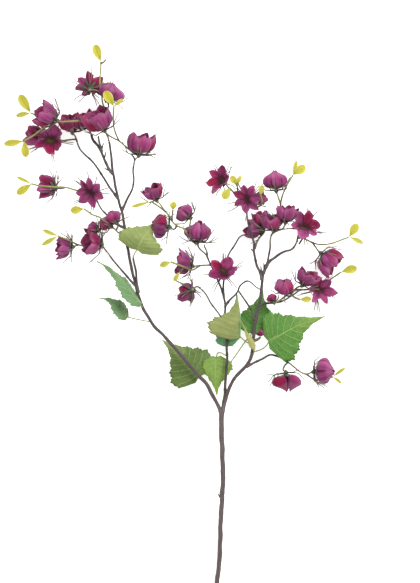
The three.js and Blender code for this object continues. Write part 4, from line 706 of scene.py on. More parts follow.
class Shader:
    """A material, with short calls for the nodes that it uses."""

    def __init__(self, name, roughness, sheen=0.0, specular=0.3):
        self.material = bpy.data.materials.new(name)
        self.material.use_nodes = True
        self.tree = self.material.node_tree
        self.surface = self.tree.nodes["Principled BSDF"].inputs
        self.surface["Roughness"].default_value = roughness
        self.surface["Specular IOR Level"].default_value = specular
        self.surface["Sheen Weight"].default_value = sheen
        self.surface["Sheen Roughness"].default_value = 0.5

    def put(self, target, value):
        if isinstance(value, bpy.types.NodeSocket):
            self.tree.links.new(value, target)
        else:
            target.default_value = value

    def node(self, kind, inputs, output=0, **settings):
        """Adds a node, sets or links its inputs, and gives one of its outputs."""
        made = self.tree.nodes.new(kind)
        for key, value in settings.items():
            setattr(made, key, value)
        for key, value in inputs.items():
            self.put(made.inputs[key], value)
        return made.outputs[output]

    def field(self, name, output="Fac"):
        return self.node("ShaderNodeAttribute", {}, output, attribute_name=name)

    def noise(self, vector, scale, detail=3.0, roughness=0.55):
        inputs = {"Vector": vector, "Scale": scale, "Detail": detail, "Roughness": roughness}
        return self.node("ShaderNodeTexNoise", inputs, "Fac")

    def math(self, operation, a, b=0.0):
        return self.node("ShaderNodeMath", {0: a, 1: b}, operation=operation)

    def times(self, a, b):
        return self.math("MULTIPLY", a, b)

    def ease(self, value, low, high, start=0.0, end=1.0):
        ends = {"From Min": low, "From Max": high, "To Min": start, "To Max": end}
        return self.node("ShaderNodeMapRange", {"Value": value, **ends}, interpolation_type="SMOOTHSTEP")

    def blend(self, share, a, b):
        """Mixes two colours. The colour sockets share their names with others, so they go by place."""
        return self.node("ShaderNodeMix", {0: share, 6: a, 7: b}, 2, data_type="RGBA")

    def layers(self, colour, *layers):
        """Lays named colours over a colour, each where its share says."""
        for share, name in layers:
            colour = self.blend(share, colour, COLOURS[name])
        return colour

    def finish(self, colour, height, depth, strength, roughness=None):
        """Gives the surface its colour and fine relief, and its roughness where that varies."""
        self.put(self.surface["Base Color"], colour)
        if roughness:
            self.put(self.surface["Roughness"], roughness)
        self.put(self.surface["Normal"], self.node(
            "ShaderNodeBump", {"Strength": strength, "Distance": depth, "Height": height}, "Normal"))
        return self.material

    def through(self, colour, share):
        """Lets part of the light through thin cloth."""
        glow = self.node("ShaderNodeBsdfTranslucent", {"Color": colour})
        surface = self.tree.nodes["Principled BSDF"].outputs[0]
        both = self.node("ShaderNodeMixShader", {0: share, 1: surface, 2: glow})
        self.put(self.tree.nodes["Material Output"].inputs["Surface"], both)


def bark_shader():
    """Dark grey-brown bark with fine streaks, darker at the knots and olive at the thin ends."""
    s = Shader("bark", 0.72)
    grain = s.field("grain", "Vector")
    streaks = s.noise(grain, 1.1, 5.0, 0.65)
    patches = s.noise(grain, 0.35, 2.0)
    colour = s.layers(
        COLOURS["thick bark"],
        (s.field("rise"), "thin bark"),
        (s.ease(patches, 0.45, 0.7, 0, 0.4), "bark patch"),
        (s.ease(streaks, 0.5, 0.66, 0, 0.8), "bark streak"),
        (s.ease(s.field("tint"), 0.0, 1.0, 0, 0.7), "twig end"),
        (s.ease(s.field("knot"), 0.1, 1.0, 0, 0.8), "bark knot"))
    return s.finish(colour, streaks, 0.0006, 0.7, s.ease(streaks, 0.3, 0.7, 0.6, 0.85))


def stalk_shader():
    """Pale olive coated stalk, brownish where it leaves the wood."""
    s = Shader("green stalk", 0.55)
    speckle = s.noise(s.field("grain", "Vector"), 0.9, 4.0)
    colour = s.layers(
        COLOURS["stalk foot"],
        (s.ease(s.field("rise"), 0.0, 0.7), "stalk"),
        (s.ease(speckle, 0.42, 0.68, 0, 0.4), "stalk speckle"),
        (s.ease(s.field("knot"), 0.0, 1.0, 0, 0.6), "stalk joint"))
    return s.finish(colour, speckle, 0.0003, 0.5)


def calyx_shader():
    """Grey-green calyx, olive at its neck, with threads that run from plum to pale green."""
    s = Shader("green calyx", 0.6)
    speckle = s.noise(s.field("grain", "Vector"), 0.8, 4.0)
    rise = s.field("rise")
    green = s.layers(
        COLOURS["calyx neck"],
        (s.ease(rise, 0.0, 0.45), "calyx"),
        (s.ease(speckle, 0.45, 0.7, 0, 0.5), "calyx speckle"))
    thread = s.layers(COLOURS["thread foot"], (s.ease(rise, 0.25, 0.95), "thread tip"))
    return s.finish(s.blend(s.field("across"), green, thread), speckle, 0.0003, 0.5)


def leaflet_shader():
    """Small yellow leaflet, greener at its base, with a fine midrib."""
    s = Shader("yellow leaflet", 0.5)
    patches = s.noise(s.field("grain", "Vector"), 0.5)
    across = s.field("across")
    colour = s.layers(
        COLOURS["leaflet base"],
        (s.ease(s.field("rise"), 0.05, 0.5), "leaflet"),
        (s.field("tint"), "pale leaflet"),
        (s.ease(patches, 0.42, 0.7, 0, 0.6), "leaflet patch"),
        (s.ease(across, 0.6, 1.0, 0, 0.75), "leaflet margin"),
        (s.times(s.ease(across, 0.03, 0.12, 1, 0), 0.5), "leaflet rib"))
    s.through(COLOURS["leaflet glow"], 0.25)
    return s.finish(colour, patches, 0.0004, 0.4)


def leaf_shader():
    """Printed cloth leaf: pale rib and side veins with darker cloth beside them, paler underneath."""
    s = Shader("leaf cloth", 0.6)
    grain, tone = s.field("grain", "Vector"), s.field("tone", "Color")
    rise, across, under = s.field("rise"), s.field("across"), s.field("inner")
    side = s.math("ABSOLUTE", across)
    ahead = s.math("ADD", s.times(side, -VEIN_LEAN), 2.0)
    phase = s.math("FRACT", s.math("ADD", s.times(rise, VEINS), ahead))
    off = s.math("ABSOLUTE", s.math("SUBTRACT", phase, 0.5))
    faint = s.ease(side, 0.75, 1.0, 1, 0.25)
    vein = s.times(s.ease(off, 0.02, 0.07, 1, 0), faint)
    beside = s.times(s.ease(off, 0.05, 0.2, 1, 0), faint)
    lines = s.math("MAXIMUM", vein, s.ease(side, 0.02, 0.05, 1, 0))
    cells = s.node("ShaderNodeTexVoronoi", {"Vector": grain, "Scale": 0.55}, "Distance",
                   feature="DISTANCE_TO_EDGE")
    net = s.ease(cells, 0.0, 0.12, 1, 0)
    mottle = s.noise(grain, 0.16, 4.0)
    light_line, dark_line = s.layers(tone, (0.55, "light vein")), s.layers(tone, (0.5, "dark vein"))
    colour = s.blend(s.ease(mottle, 0.35, 0.65, 0.0, 0.4), tone, s.layers(tone, (0.6, "leaf mottle")))
    colour = s.blend(s.times(beside, 0.3), colour, s.layers(tone, (0.6, "beside a vein")))
    colour = s.layers(colour, (s.times(net, 0.12), "leaf net"))
    colour = s.blend(s.times(lines, 0.6), colour, s.blend(under, light_line, dark_line))
    colour = s.layers(colour, (s.times(under, 0.16), "leaf underside"))
    s.through(colour, 0.2)
    height = s.math("ADD", s.times(lines, 0.7), s.times(s.noise(grain, 3.0, 2.0), 0.25))
    return s.finish(colour, height, 0.0004, 0.6, s.ease(mottle, 0.3, 0.7, 0.5, 0.68))


def skin_shader():
    """Thin magenta cloth: violet pink to crimson, streaked along each lobe, with painted shade deep in the
    throat and in the valleys between the lobes, a painted highlight towards the rims, and darker cloth with
    painted shade where a lantern or lobe is darker. The field knot says how far the lobes of a lantern are
    spread."""
    s = Shader("magenta lantern cloth", 0.7, sheen=0.25, specular=0.2)
    grain, darker_cloth_and_painted_shade, spread = s.field("grain", "Vector"), s.field("darker_cloth_and_painted_shade"), s.field("knot")
    rise, across = s.field("rise"), s.field("across")
    streaks = s.noise(grain, 1.3, 4.0, 0.6)
    patches = s.noise(grain, 0.3)
    colour = s.layers(
        COLOURS["violet pink"],
        (s.field("tint"), "crimson"),
        (s.ease(patches, 0.42, 0.66, 0, 0.6), "cloth patch"),
        (s.ease(streaks, 0.5, 0.64, 0, 0.6), "cloth streak"),
        # Painted highlight on the upper part of each lobe, stronger towards its sides.
        (s.times(s.ease(rise, 0.6, 1.0, 0, 0.6), s.ease(across, 0.2, 0.9, 0.4, 1.0)), "painted rim highlight"),
        # Painted shade in the valleys between the lobes, below where they part.
        (s.times(s.ease(across, 0.72, 0.98), s.ease(rise, 0.55, 0.8, 0.75, 0.0)), "fold"))
    outside = s.layers(colour, (s.ease(rise, 0.05, 0.45, 0.7, 0), "cloth foot"))
    # Deep in the cup the inside gets painted shade, less where the lobes spread wide.
    lit = s.math("ADD", rise, s.times(spread, 0.22))
    lit = s.math("SUBTRACT", lit, s.times(s.times(across, spread), 0.16))
    inside = s.layers(
        colour,
        (s.times(s.ease(spread, 0.4, 0.6, 1, 0), 0.2), "inner cloth"),
        (s.ease(lit, 0.36, 0.66, 1, 0), "painted throat shade"),
        (s.times(s.ease(lit, 0.22, 0.5, 0.85, 0), s.ease(darker_cloth_and_painted_shade, 0.1, 0.5, 1, 0.15)), "throat olive"))
    # Darker cloth and painted shade, set for each lantern and varied from lobe to lobe.
    colour = s.layers(s.blend(s.field("inner"), outside, inside), (s.times(darker_cloth_and_painted_shade, 0.6), "dark cloth with painted shade"))
    s.through(s.layers(colour, (0.5, "cloth glow")), 0.36)
    stretched = s.node("ShaderNodeVectorMath", {0: grain, 1: (1, 1, 3)}, operation="MULTIPLY")
    height = s.math("ADD", s.times(streaks, 0.8), s.times(s.noise(stretched, 4.0, 2.0), 0.2))
    return s.finish(colour, height, 0.0005, 0.6, s.ease(patches, 0.3, 0.7, 0.6, 0.8))


BARK, STALK, CALYX = bark_shader(), stalk_shader(), calyx_shader()
LEAFLET, LEAF, CLOTH = leaflet_shader(), leaf_shader(), skin_shader()


def facing(row):
    """A lantern's own frame: the way it faces, and two directions across."""
    lift, aim = radians(row["lift"]), radians(row["aim"])
    out = Vector((cos(lift) * cos(aim), cos(lift) * sin(aim), sin(lift)))
    guide = Vector((1, 0, 0)) if abs(out.z) > 0.9 else UP
    across = guide.cross(out).normalized()
    return out, across, out.cross(across)


def profile(row, share):
    """Radius and height of the skin as shares, at a share of the way from foot to lobe tip."""
    is_cup = row["open"] < 1
    first, second = (CLOSED_PROFILE, CUP_PROFILE) if is_cup else (CUP_PROFILE, STAR_PROFILE)
    blend = row["open"] if is_cup else row["open"] - 1
    return [mix(spline([p[k] for p in first], share), spline([p[k] for p in second], share), blend)
            for k in (0, 1)]


def notch_of(row):
    if row["open"] < 1:
        usual = mix(NOTCH["closed"], NOTCH["cup"], row["open"])
    else:
        usual = mix(NOTCH["cup"], NOTCH["star"], row["open"] - 1)
    return row.get("cut", usual)


def lobes_of(row, seed):
    """The lobes of a lantern: where each starts round the mouth, the room that it takes there, how far it
    reaches, how its end leans, curls, twists and cups, how crimson it is, and how dark, as darker cloth and
    painted shade."""
    draw, loose = seeded(seed), seeded(seed + LOOSE_SEED)
    start = radians(draw(0, 360) + row.get("spin", 0))
    lobes = [{"room": draw(*LOBE_ROOM), "reach": draw(*LOBE_REACH),
              "fold": draw(*LOBE_FOLD) if row["open"] < STAR else 1} for _ in range(row["lobes"])]
    whole = sum(lobe["room"] for lobe in lobes)
    across, other = facing(row)[1:]
    for lobe in lobes:
        lobe["start"] = start
        lobe["room"] *= TURN / whole
        start += lobe["room"]
        for name, span in LOBE_DRAWS.items():
            lobe[name] = loose(*span)
        is_crimson = loose(0, 1) < row["crimson"]
        lobe["tint"] = loose(*(CRIMSON_TINT if is_crimson else PINK_TINT))
        if "blush" in row:
            middle = lobe["start"] + lobe["room"] / 2
            toward = round_way(middle, across, other).dot(round_way(radians(row["blush"])))
            lobe["tint"] *= BLUSH["own"] * row["crimson"]
            lobe["tint"] += BLUSH["side"] * smooth(BLUSH["from"], BLUSH["to"], toward)
        lobe["shade"] = min(1, max(0, row["darker_cloth_and_painted_shade"] + loose(*SHADE_SPREAD)))
    return lobes


def lobe_outline(row, lobe, u):
    """How far up a lobe reaches at a place across it: more or less rounded, or pointed on a star."""
    peak = lobe["peak"]
    u = 0.5 * u / peak if u < peak else 0.5 + 0.5 * (u - peak) / (1 - peak)
    if row["open"] < SPIKY:
        return mix(1 - abs(2 * u - 1), sin(pi * u), ROUNDNESS) ** lobe["round"]
    return (1 - abs(2 * u - 1)) ** (0.7 + 0.8 * lobe["round"])


def crumple(way, height, seed):
    """Folds of creased cloth, in and out, at a place on a lantern's skin. From about -1 to 1."""
    place = Vector((1.5 * way.x, 1.5 * way.y, 1.4 * height + seed % 29))
    folded = 0
    for k in range(3):
        tilt = Vector((cos(seed + 2.1 * k), sin(seed + 2.1 * k), 0.9 - 0.7 * k))
        warp = 0.5 * noise.noise(place * 0.9 + Vector((7 * k, 0, 0)))
        folded += abs((place.dot(tilt) * (0.55 + 0.2 * k) + warp) % 2 - 1) - 0.5
    return 0.5 * noise.noise(place * 1.2) + 0.75 * folded


def skin_point(row, lobe, u, share, seed):
    """A point of a lantern's skin in its own frame: x and y across, z the way that it faces, in mm."""
    size, depth = row["mouth"] * SWELL, row["depth"] * SWELL
    kind = "star" if row["open"] >= SPIKY else "cup"
    opened = smooth(0.1, 0.6, row["open"])
    spread = smooth(1.1, SPIKY, row["open"])
    ridge = abs(2 * u - 1)
    free = smooth(0, SOFT_EDGE, 1 - ridge)
    turn = lobe["start"] + lobe["room"] * u
    way = round_way(turn)
    # Where the point lies on the profile, and which way the profile runs there
    torn = noise.noise(Vector((9 * turn, 3 * share, seed % 31)))
    torn += 0.5 * noise.noise(Vector((23 * turn, 0, seed % 13)))
    lobed = lobe_outline(row, lobe, u) * (1 - RAGGED * smooth(-0.1, 0.9, torn))
    reach = share * mix(notch_of(row), 1, lobed)
    radius, height = profile(row, reach)
    ahead, behind = profile(row, min(1, reach + 0.02)), profile(row, max(0, reach - 0.02))
    slope = Vector(((ahead[0] - behind[0]) * size, (ahead[1] - behind[1]) * depth)).normalized()
    longer = mix(1, lobe["reach"], share * lobed * mix(SHUT_REACH, 1, opened))
    leaning = mix(1, lobe["fold"], share * share * lobed)
    leaning *= mix(1, mix(PURSED, 1, opened), smooth(0.66, 1.02, share))
    # How far the cloth is creased and bent out of it
    valley = row.get("valley", VALLEY[kind]) * max(0, 1 - (1 - ridge) / VALLEY_WIDTH) ** 2
    crease = CREASE * (1 - 2 * ridge ** 1.4) - valley * smooth(0.1, 0.6, share)
    bend = lobe["curl"] * share ** 4 + lobe["twist"] * (2 * u - 1) * share ** 2
    bend += lobe["cup"] * (ridge ** 2 - 0.4) * share ** 2
    creased = CRUMPLE[kind] * crumple(way, height, seed) * smooth(0.12, 0.5, share)
    bend = bend * free * mix(SHUT_BEND, 1, opened)
    bend += creased * mix(1 - (1 - SHUT_CRUMPLE) * smooth(0.6, 0.95, share), 1, opened)
    crease *= min(1, 2.5 * share)
    bend += crease * spread * radius
    bend = bend * size + FLUTE * sin(FLUTES * u + lobe["wave"]) * share ** 3 * free
    radius = radius * (1 + crease * (1 - spread)) * longer * leaning * size + bend * slope.y
    point = way * max(0.1, radius)
    if "slit" in row:
        along = round_way(radians(row["slit"]))
        aside = point - along * along.dot(point)
        point -= aside * (1 - mix(SLIT_WIDTH, 1, smooth(0.1, 0.75, share)))
    point.z = height * longer * depth - bend * slope.x
    return point


def lining_of(row):
    """The row of a lantern's second layer: a little smaller, more crimson, and darker, as darker cloth and
    painted shade.
    """
    smaller = {name: row[name] * LINING[name] for name in ("mouth", "depth")}
    return {**row, **smaller, **{name: min(1, row[name] + LINING[name]) for name in ("crimson", "darker_cloth_and_painted_shade")}}


def skin_rows(row, seed, height=LANTERN_ROWS, width=LOBE_COLUMNS):
    """The grid of a lantern's skin from near its foot to the rim, and its shading values."""
    out, across, other = facing(row)
    foot = at(row["foot"])
    lobes = lobes_of(row, seed)
    places = [(number, k / width) for number in range(len(lobes)) for k in range(width)]

    def rows_of(value):
        return [[value(i / height, lobes[number], number, u) for number, u in places]
                for i in range(1, height + 1)]

    def point(share, lobe, number, u):
        local = skin_point(row, lobe, u, share, seed)
        return foot + out * local.z + across * local.x + other * local.y

    def grain(share, lobe, number, u):
        return round_way(lobe["start"] + lobe["room"] * u) * 4 + UP * (0.9 * share + seed % 17)

    def blended(name):
        def value(share, lobe, number, u):
            near = lobes[number - 1] if u < 0.5 else lobes[(number + 1) % len(lobes)]
            own = smooth(0, SOFT_EDGE, 1 - abs(2 * u - 1))
            return mix(near[name], lobe[name], mix(NEIGHBOUR, 1, own))
        return rows_of(value)
    return rows_of(point), {
        "rise": rows_of(lambda share, *place: share),
        "across": rows_of(lambda share, lobe, number, u: abs(2 * u - 1)),
        "knot": smooth(0.9, 1.6, row["open"]),
        # Each lobe's darkness is darker cloth and painted shade.
        "tint": blended("tint"), "darker_cloth_and_painted_shade": blended("shade"), "grain": rows_of(grain),
    }


def thread_lines(row, seed):
    """Start, bend and tip of each thread-like bract round a lantern."""
    out, foot = facing(row)[0], at(row["foot"])
    ends = [foot + out * height for height in (CALYX_RING * CALYX_LENGTH, -CALYX_GAP)]
    lower, upper = rings_along(ends, (CALYX_NARROW * CALYX_RADIUS, CALYX_RADIUS), CALYX_SIDES)
    shoulder = profile(row, SHOULDER_AT)[0] * THREAD_BEND["share"] * SWELL * row["mouth"]
    widest = max(profile(row, share)[0] for share in RIM_AT) * THREAD_TIP * row["mouth"]
    lines = []
    solid, extra = seeded(seed + THREAD_SEED), seeded(seed + EXTRA_SEED)
    has_many = row["mouth"] >= SMALL_CALYX and row["open"] >= BARELY_OPEN
    for i in range(MANY_THREADS if has_many else FEW_THREADS):
        is_extra = i >= SOLID_THREADS
        draw, rise = (extra, EXTRA_RISE) if is_extra else (solid, THREAD_RISE)
        j, k = i % CALYX_SIDES, (i + 1) % CALYX_SIDES
        is_second = i >= CALYX_SIDES
        corners = [lower[j], upper[k], upper[j]] if is_second else [lower[j], lower[k], upper[k]]
        centre = sum(corners, Vector()) / 3
        aside = centre - foot
        aside = (aside - out * aside.dot(out)).normalized()
        if is_second:
            aside = turned(aside, extra(*EXTRA_TURN), out)
        past = draw(*THREAD_REACH) * min(1, row["mouth"] / SMALL_MOUTH) + (EXTRA_REACH if is_extra else 0)
        bend = foot + out * THREAD_BEND["back"] + aside * (shoulder + THREAD_BEND["out"])
        tip = foot + aside * (widest + past) + out * (row["depth"] * draw(*rise))
        if tip.z > CLEAR_ABOVE:
            lines.append((centre, bend, tip, out))
    return lines


def leaf_rows(row):
    """The grid of a leaf from base to tip and from margin to margin, with its shading values."""
    rib = line_at(row["rib"])
    marks = [curve_point(rib, k / RIB_STEPS) for k in range(RIB_STEPS + 1)]
    tooth_room = sum((q - p).length for p, q in zip(marks, marks[1:])) / TEETH
    (left, right), (fold_left, fold_right) = row["widths"], row["folds"]
    halves = {-1: (left, -fold_left, 0), 1: (right, 180 + fold_right, row["hang"])}
    base_tone, tip_tone = [Vector(c) for c in row["tones"]]

    def half_at(t):
        return max(0, spline(LEAF_HALF, t)) if t < 1 else 0

    def point(t, s):
        hand = 1 if s > 0 else -1
        width, turn, lag = halves[hand]
        s = abs(s)
        root, along = curve_point(rib, t), curve_along(rib, t)
        level = turned(UP.cross(along).normalized(), radians(row["roll"]), along)
        way = turned(level, radians(turn), along)
        up = along.cross(way) * (-hand)
        if s == 0:
            return root - up * GROOVE
        tooth, small = zigzag(t * TEETH), zigzag(t * TEETH % 1 * SMALL_TEETH)
        jag = TOOTH["out"] * tooth + SMALL_TOOTH["out"] * small
        lead = TOOTH["ahead"] * tooth + SMALL_TOOTH["ahead"] * small
        half, margin = width * half_at(t), s ** 5
        sweep = half * mix(SWEEP_BASE - lag, SWEEP_TIP, min(1, 3 * t)) * (1 - t)
        out = half * s * (1 + margin * row["frayed"] * jag)
        ahead = sweep * s + margin * (1 - t) * tooth_room * lead
        pillow = PILLOW * zigzag(t * VEINS - VEIN_LEAN * s) * sin(pi * min(s, 0.98)) * min(1, 8 * t)
        ripple = RIPPLE * sin(RIPPLES * pi * t + 1.3 * hand) * s ** 3
        droop = DROOP * s * s * width / USUAL_HALF
        return root + way * out + along * ahead + up * (pillow + ripple + droop)

    def tone(t, s):
        shade = base_tone.lerp(tip_tone, smooth(TIP_TONE_FROM, 1, t))
        return row["left_tone"] if s < 0 and row["left_tone"] else tuple(shade)

    def grain(t, s):
        return Vector((LEAF_GRAIN[0] * t, LEAF_GRAIN[1] * s * half_at(t), 0))
    values = {"rise": lambda t, s: t, "across": lambda t, s: s, "tone": tone, "grain": grain}
    return (grid(LEAF_ROWS, LEAF_COLUMNS, point),
            {name: grid(LEAF_ROWS, LEAF_COLUMNS, value) for name, value in values.items()})


def leaflet_half(t):
    """A leaflet's half width as a share of the widest: a spoon with a round end."""
    if t < LEAFLET_WIDEST:
        return sin(pi / 2 * t / LEAFLET_WIDEST) ** 1.5
    return sqrt(max(0, 1 - ((t - LEAFLET_WIDEST) / (1 - LEAFLET_WIDEST)) ** 2))


def leaflet_rows(base, tip, width):
    """The grid of a leaflet from base to tip, with its shading values."""
    start, end = at(base), at(tip)
    along = (end - start).normalized()
    across = UP.cross(along).normalized()
    start = start - along * LEAFLET_ROOT
    seed = int(tip[0] * 7 + tip[1] * 13)
    draw = seeded(seed)
    lean, wave, twist = [draw(*span) for span in LEAFLET_DRAWS]
    pale = draw(*(BROAD_PALE if width > BROAD_LEAFLET else NARROW_PALE))

    def point(t, s):
        bow = sin(pi * t)
        half = max(0.02, leaflet_half(t) * width * LEAFLET_WIDTH / 2)
        lift = GUTTER * half * s * s + twist * half * s * t + LEAFLET_WAVE * sin(9 * t + wave) * s * s
        return start.lerp(end, t) + UP * (ARCH * bow + lift) + across * (lean * bow + half * s)

    def grain(t, s):
        return Vector((LEAFLET_GRAIN[0] * t + seed % 11, LEAFLET_GRAIN[1] * s, 0))
    values = {"rise": lambda t, s: t, "across": lambda t, s: abs(s), "grain": grain}
    fields = {name: grid(LEAFLET_ROWS, LEAFLET_COLUMNS, value) for name, value in values.items()}
    return grid(LEAFLET_ROWS, LEAFLET_COLUMNS, point), {**fields, "tint": pale}


def bark_strand(piece, path, thick, thin, seed, is_trunk):
    """A woody strand with small knots, a flared foot and a rounded end."""
    points, far = resampled(line_at(path), STRAND_STEP)
    draw = seeded(seed)
    length = far[-1]
    knots = []
    place = draw(*FIRST_KNOT)
    while place < length - KNOT_END:
        knots.append(place)
        place += draw(*(TRUNK_KNOTS if is_trunk else TWIG_KNOTS))
    phases = [draw(*PHASE) for _ in range(4)]
    knot_out, knot_dark = THICK_KNOT if thick > THICK_STRAND else THIN_KNOT
    radii, knot, rise, tint = [], [], [], []
    for d in far:
        near = max([exp(-((d - k) / KNOT_LENGTH) ** 2) for k in knots] or [0])
        r = mix(thick, thin, d / length)
        r *= 1 + 0.04 * sin(d / 5.1 + phases[0]) + 0.02 * sin(d / 1.7 + phases[1])
        r *= BARK_RADIUS * (1 + knot_out * near)
        if not is_trunk:
            flare = TWIG_FOOT["flare"] * exp(-(d / TWIG_FOOT["length"]) ** 2)
            r *= TWIG_FOOT["rest"] + flare + TWIG_FOOT["rise"] * smooth(0, TWIG_FOOT["rise_length"], d)
        if d > length - END_LENGTH:
            r *= mix(END_RADIUS, 1, (length - d) / END_LENGTH)
        radii.append(r)
        knot.append(near * knot_dark)
        rise.append(smooth(3.4, 1.7, r))
        tint.append(0.75 * smooth(length - OLIVE_END, length, d) * smooth(1.8, 1.0, thin))
    for i, d in enumerate(far[1:-1], 1):
        stray = Vector((sin(d / 4.3 + phases[2]), sin(d / 5.1 + phases[3]), 0))
        points[i] = points[i] + stray * WANDER

    def ripple(i, turn):
        return 1 + 0.05 * sin(3 * turn + 0.25 * i + phases[1]) + 0.04 * sin(5 * turn - 0.11 * i)
    piece.tube(points, radii, BARK, sides=14 if thick > ROUND_STRAND else 10, ripple=ripple, rise=rise,
               knot=knot, tint=tint)


def green_stalk(piece, path, middles, seed):
    """A thin stalk that thickens a little at its foot. It ends in a calyx, if one is near."""
    end = at(path[-1])
    near = [p for p in middles if (p - end).length < CALYX_LENGTH]
    points, far = resampled([*line_at(path[:-1]), near[0] if near else end], STRAND_STEP)
    phase = seeded(seed)(0, 6)
    foot = [exp(-d / STALK_FOOT) for d in far]
    radii = [STALK_RADIUS * (1 + 0.35 * f + 0.06 * sin(d / 2.7 + phase)) for f, d in zip(foot, far)]
    piece.tube(points, radii, STALK, rise=[min(1, d / BROWN_FOOT) for d in far], knot=foot)


def green_calyx(piece, row, seed):
    """A ridged cup that narrows into the stalk, with five short sepals that lie on the skin."""
    out, across, other = facing(row)
    foot = at(row["foot"])
    radius = CALYX_RADIUS * (1 if row["mouth"] >= SMALL_CALYX else 0.8)
    points = [foot + out * (height * CALYX_LENGTH) for height, _ in CALYX_PROFILE]
    last = len(CALYX_PROFILE) - 1
    rise = [k / last for k in range(last + 1)]
    piece.tube(points, [r * radius for _, r in CALYX_PROFILE], CALYX, sides=20, rise=rise,
               ripple=lambda i, turn: 1 + 0.1 * cos(SEPALS * turn))
    spin = lobes_of(row, seed)[0]["start"]
    for number in range(SEPALS):
        rows, rise = [], []
        for i in range(SEPAL_ROWS + 1):
            t = i / SEPAL_ROWS
            radius, height = profile(row, mix(*SEPAL_SPAN, t))
            r = radius * row["mouth"] * SWELL * (1 + CREASE) + SEPAL_OUT
            half = SEPAL_HALF * (1 - t) ** 0.8 + 0.01
            turns = [spin + TURN * number / SEPALS + half * k for k in (-1, -0.5, 0, 0.5, 1)]
            middle = foot + out * (height * row["depth"] * SWELL - SEPAL_BACK)
            rows.append([middle + round_way(turn, across, other) * r for turn in turns])
            rise.append([mix(*SEPAL_RISE, t)] * len(turns))
        piece.sheet(rows, SEPAL_SKIN, CALYX, rise=rise)


def thread(piece, line, seed):
    """A thread that bends round the skin, hooks a little at its tip, and thins out."""
    start, bend, tip, out = line
    draw = seeded(seed)
    hook = out * draw(*THREAD_HOOK)
    middle = bend.lerp(tip, 0.5) + (tip - bend).cross(out).normalized() * draw(-THREAD_BOW, THREAD_BOW)
    points, far = resampled([start, start.lerp(bend, 0.6), bend, middle, tip + hook * 0.5], FINE_STEP)
    whole, less = THREAD_TAPER
    piece.tube(points, [THREAD_RADIUS * (whole - less * d / far[-1]) for d in far], CALYX, sides=6,
               rise=[d / far[-1] for d in far], across=1.0)


# Three points rest on the surface: the cut end and two lanterns.
trunk_radius, _, trunk_path = WOOD["trunk"]
tilt = (at(trunk_path[1]) - at(trunk_path[0])).normalized()
trunk_path[0] = (*trunk_path[0][:2], trunk_radius * TRUNK_ROUND * sqrt(1 - tilt.z ** 2))
SEEDS = {name: LANTERN_SEED + i for i, name in enumerate(LANTERNS)}
for name in ("far_west", "far_east"):
    row = LANTERNS[name]
    lift = min(p.z for line in skin_rows(row, SEEDS[name])[0] for p in line) - SKIN / 2
    x, y, z = row["foot"]
    row["foot"] = (x, y, z - lift)

# Wood
wood = Piece()
for number, (name, (thick, thin, path)) in enumerate(WOOD.items()):
    bark_strand(wood, path, thick, thin, WOOD_SEED + number, name == "trunk")
for path in STUBS.values():
    points, far = resampled(line_at(path), STUB_STEP)
    radii = [mix(*STUB_RADII, d / far[-1]) for d in far]
    radii[-1] *= STUB_END
    wood.tube(points, radii, BARK, rise=0.9, knot=[0.35 + 0.6 * d / far[-1] for d in far])
wood.make("stem", ["woody_stem"])

# Leaves
for name, row in LEAVES.items():
    piece = Piece()
    rows, fields = leaf_rows(row)
    piece.sheet(rows, LEAF_SKIN, LEAF, **fields)
    rib = line_at(row["rib"])
    points, far = resampled([*line_at(row["petiole"]), rib[0].lerp(rib[1], PETIOLE_END)], FINE_STEP)
    piece.tube(points, [PETIOLE_RADIUS * (1 + 0.4 * exp(-d / 2)) for d in far], STALK, rise=0.6,
               knot=[0.7 * exp(-d / 3) for d in far])
    shares = [k / RIB_RINGS for k in range(RIB_RINGS + 1)]
    piece.tube([curve_point(rib, share) - UP * RIB_DROP for share in shares],
               [mix(*RIB_RADII, share) for share in shares], LEAF, sides=6, rise=0.5, tone=row["tones"][0])
    piece.make("cloth_leaf_" + name, ["leaf_" + name])

# Lanterns
for name in LANTERNS:
    if name in PARTNER.values():
        continue
    piece = Piece()
    for one in [name, PARTNER[name]] if name in PARTNER else [name]:
        row, foot = LANTERNS[one], at(LANTERNS[one]["foot"])
        rows, fields = skin_rows(row, SEEDS[one])
        piece.sheet(rows, SKIN, CLOTH, pole=foot, **fields)
        if row["mouth"] > LINED_MOUTH and LINED_OPEN <= row["open"] < SPIKY:
            rows, fields = skin_rows(lining_of(row), SEEDS[one] + LINING["seed"], LINING["rows"],
                                     LINING["columns"])
            piece.sheet(rows, SKIN, CLOTH, pole=foot + facing(row)[0] * LINING["foot"], **fields)
    piece.make("cloth_lantern_" + name, ["lantern_" + name])

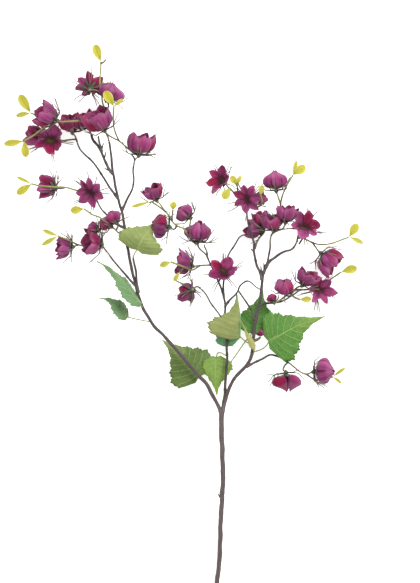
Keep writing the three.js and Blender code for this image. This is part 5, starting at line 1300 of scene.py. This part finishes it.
# Green sprays. A thread that would come too near to another piece is left out.
solids = {}
for name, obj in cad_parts.items():
    if not name.startswith("spray_"):
        corners = [corner.co for corner in obj.data.vertices]
        solids[name] = BVHTree.FromPolygons(corners, [face.vertices for face in obj.data.polygons])
carriers = {one: "lantern_" + one for one in LANTERNS}
carriers.update({partner: "lantern_" + one for one, partner in PARTNER.items()})
for number, (name, (lanterns, stalks, leaflets)) in enumerate(SPRAYS.items()):
    piece = Piece()
    middles = [at(LANTERNS[one]["foot"]) - facing(LANTERNS[one])[0] * (CALYX_LENGTH / 2)
               for one in lanterns]
    for k, path in enumerate(stalks):
        green_stalk(piece, path, middles, STALK_SEED + STALKS_A_SPRAY * number + k)
    for one in lanterns:
        green_calyx(piece, LANTERNS[one], SEEDS[one])
        others = [tree for node, tree in solids.items() if node != carriers[one]]
        for k, line in enumerate(thread_lines(LANTERNS[one], SEEDS[one])):
            probes = [line[1].lerp(line[2], quarter / 4) * MM for quarter in range(5)]
            if not any(tree.find_nearest(p, CLEAR_AROUND * MM)[0] for tree in others for p in probes):
                thread(piece, line, LINE_SEED + SEEDS[one] * LINES_A_LANTERN + k)
    for stalk, tip, width in leaflets:
        rows, fields = leaflet_rows(stalks[stalk][-1], tip, width)
        piece.sheet(rows, LEAFLET_SKIN, LEAFLET, **fields)
    piece.make("green_spray_" + name, ["spray_" + name])

# Camera: straight above, as far off as a studio lens of that length needs
CAMERA_AWAY, SENSOR = 12.0, 36.0
centre = at((PHOTO_PX[0] / 2, PHOTO_PX[1] / 2, 45)) * MM
camera = add_object("camera", bpy.data.cameras.new("camera"))
camera.data.sensor_width = SENSOR
camera.data.lens = SENSOR * CAMERA_AWAY / (PHOTO_PX[1] * MM_PER_PX * MM)
camera.data.clip_end = 60
camera.location = centre + UP * CAMERA_AWAY
bpy.context.scene.camera = camera

# A pale floor
FLOOR_REACH, FLOOR_GLOW = 20, 0.62
FLOOR_TONES = ((0.9, 0.9, 0.9, 1), (0.93, 0.93, 0.93, 1))
shader = Shader("pale floor", 0.9, specular=0.1)
shader.surface["Emission Color"].default_value = WHITE
shader.surface["Emission Strength"].default_value = FLOOR_GLOW
where = shader.node("ShaderNodeTexCoord", {}, "Object")
shader.put(shader.surface["Base Color"], shader.blend(shader.noise(where, 3.0), *FLOOR_TONES))
floor_mesh = bpy.data.meshes.new("floor")
corners = [(x * FLOOR_REACH, y * FLOOR_REACH, 0) for x, y in ((-1, -1), (1, -1), (1, 1), (-1, 1))]
floor_mesh.from_pydata(corners, [], [(0, 1, 2, 3)])
floor_mesh.materials.append(shader.material)
floor = add_object("floor", floor_mesh)

# Soft studio light: a bright surround and two large panels
SURROUND = 0.52
PANELS = (("key panel", (1.2, 1.7, 2.4), 1.8, 112), ("fill panel", (-2.0, -0.8, 2.0), 2.4, 24))
world = bpy.data.worlds.new("studio")
world.use_nodes = True
world.node_tree.nodes["Background"].inputs["Color"].default_value = WHITE
world.node_tree.nodes["Background"].inputs["Strength"].default_value = SURROUND
bpy.context.scene.world = world
for name, place, size, power in PANELS:
    light = bpy.data.lights.new(name, "AREA")
    light.size = size
    light.energy = power
    panel = add_object(name, light)
    panel.location = place
    panel.rotation_euler = (centre - Vector(place)).to_track_quat("-Z", "Y").to_euler()

bpy.context.scene.view_settings.view_transform = "Standard"
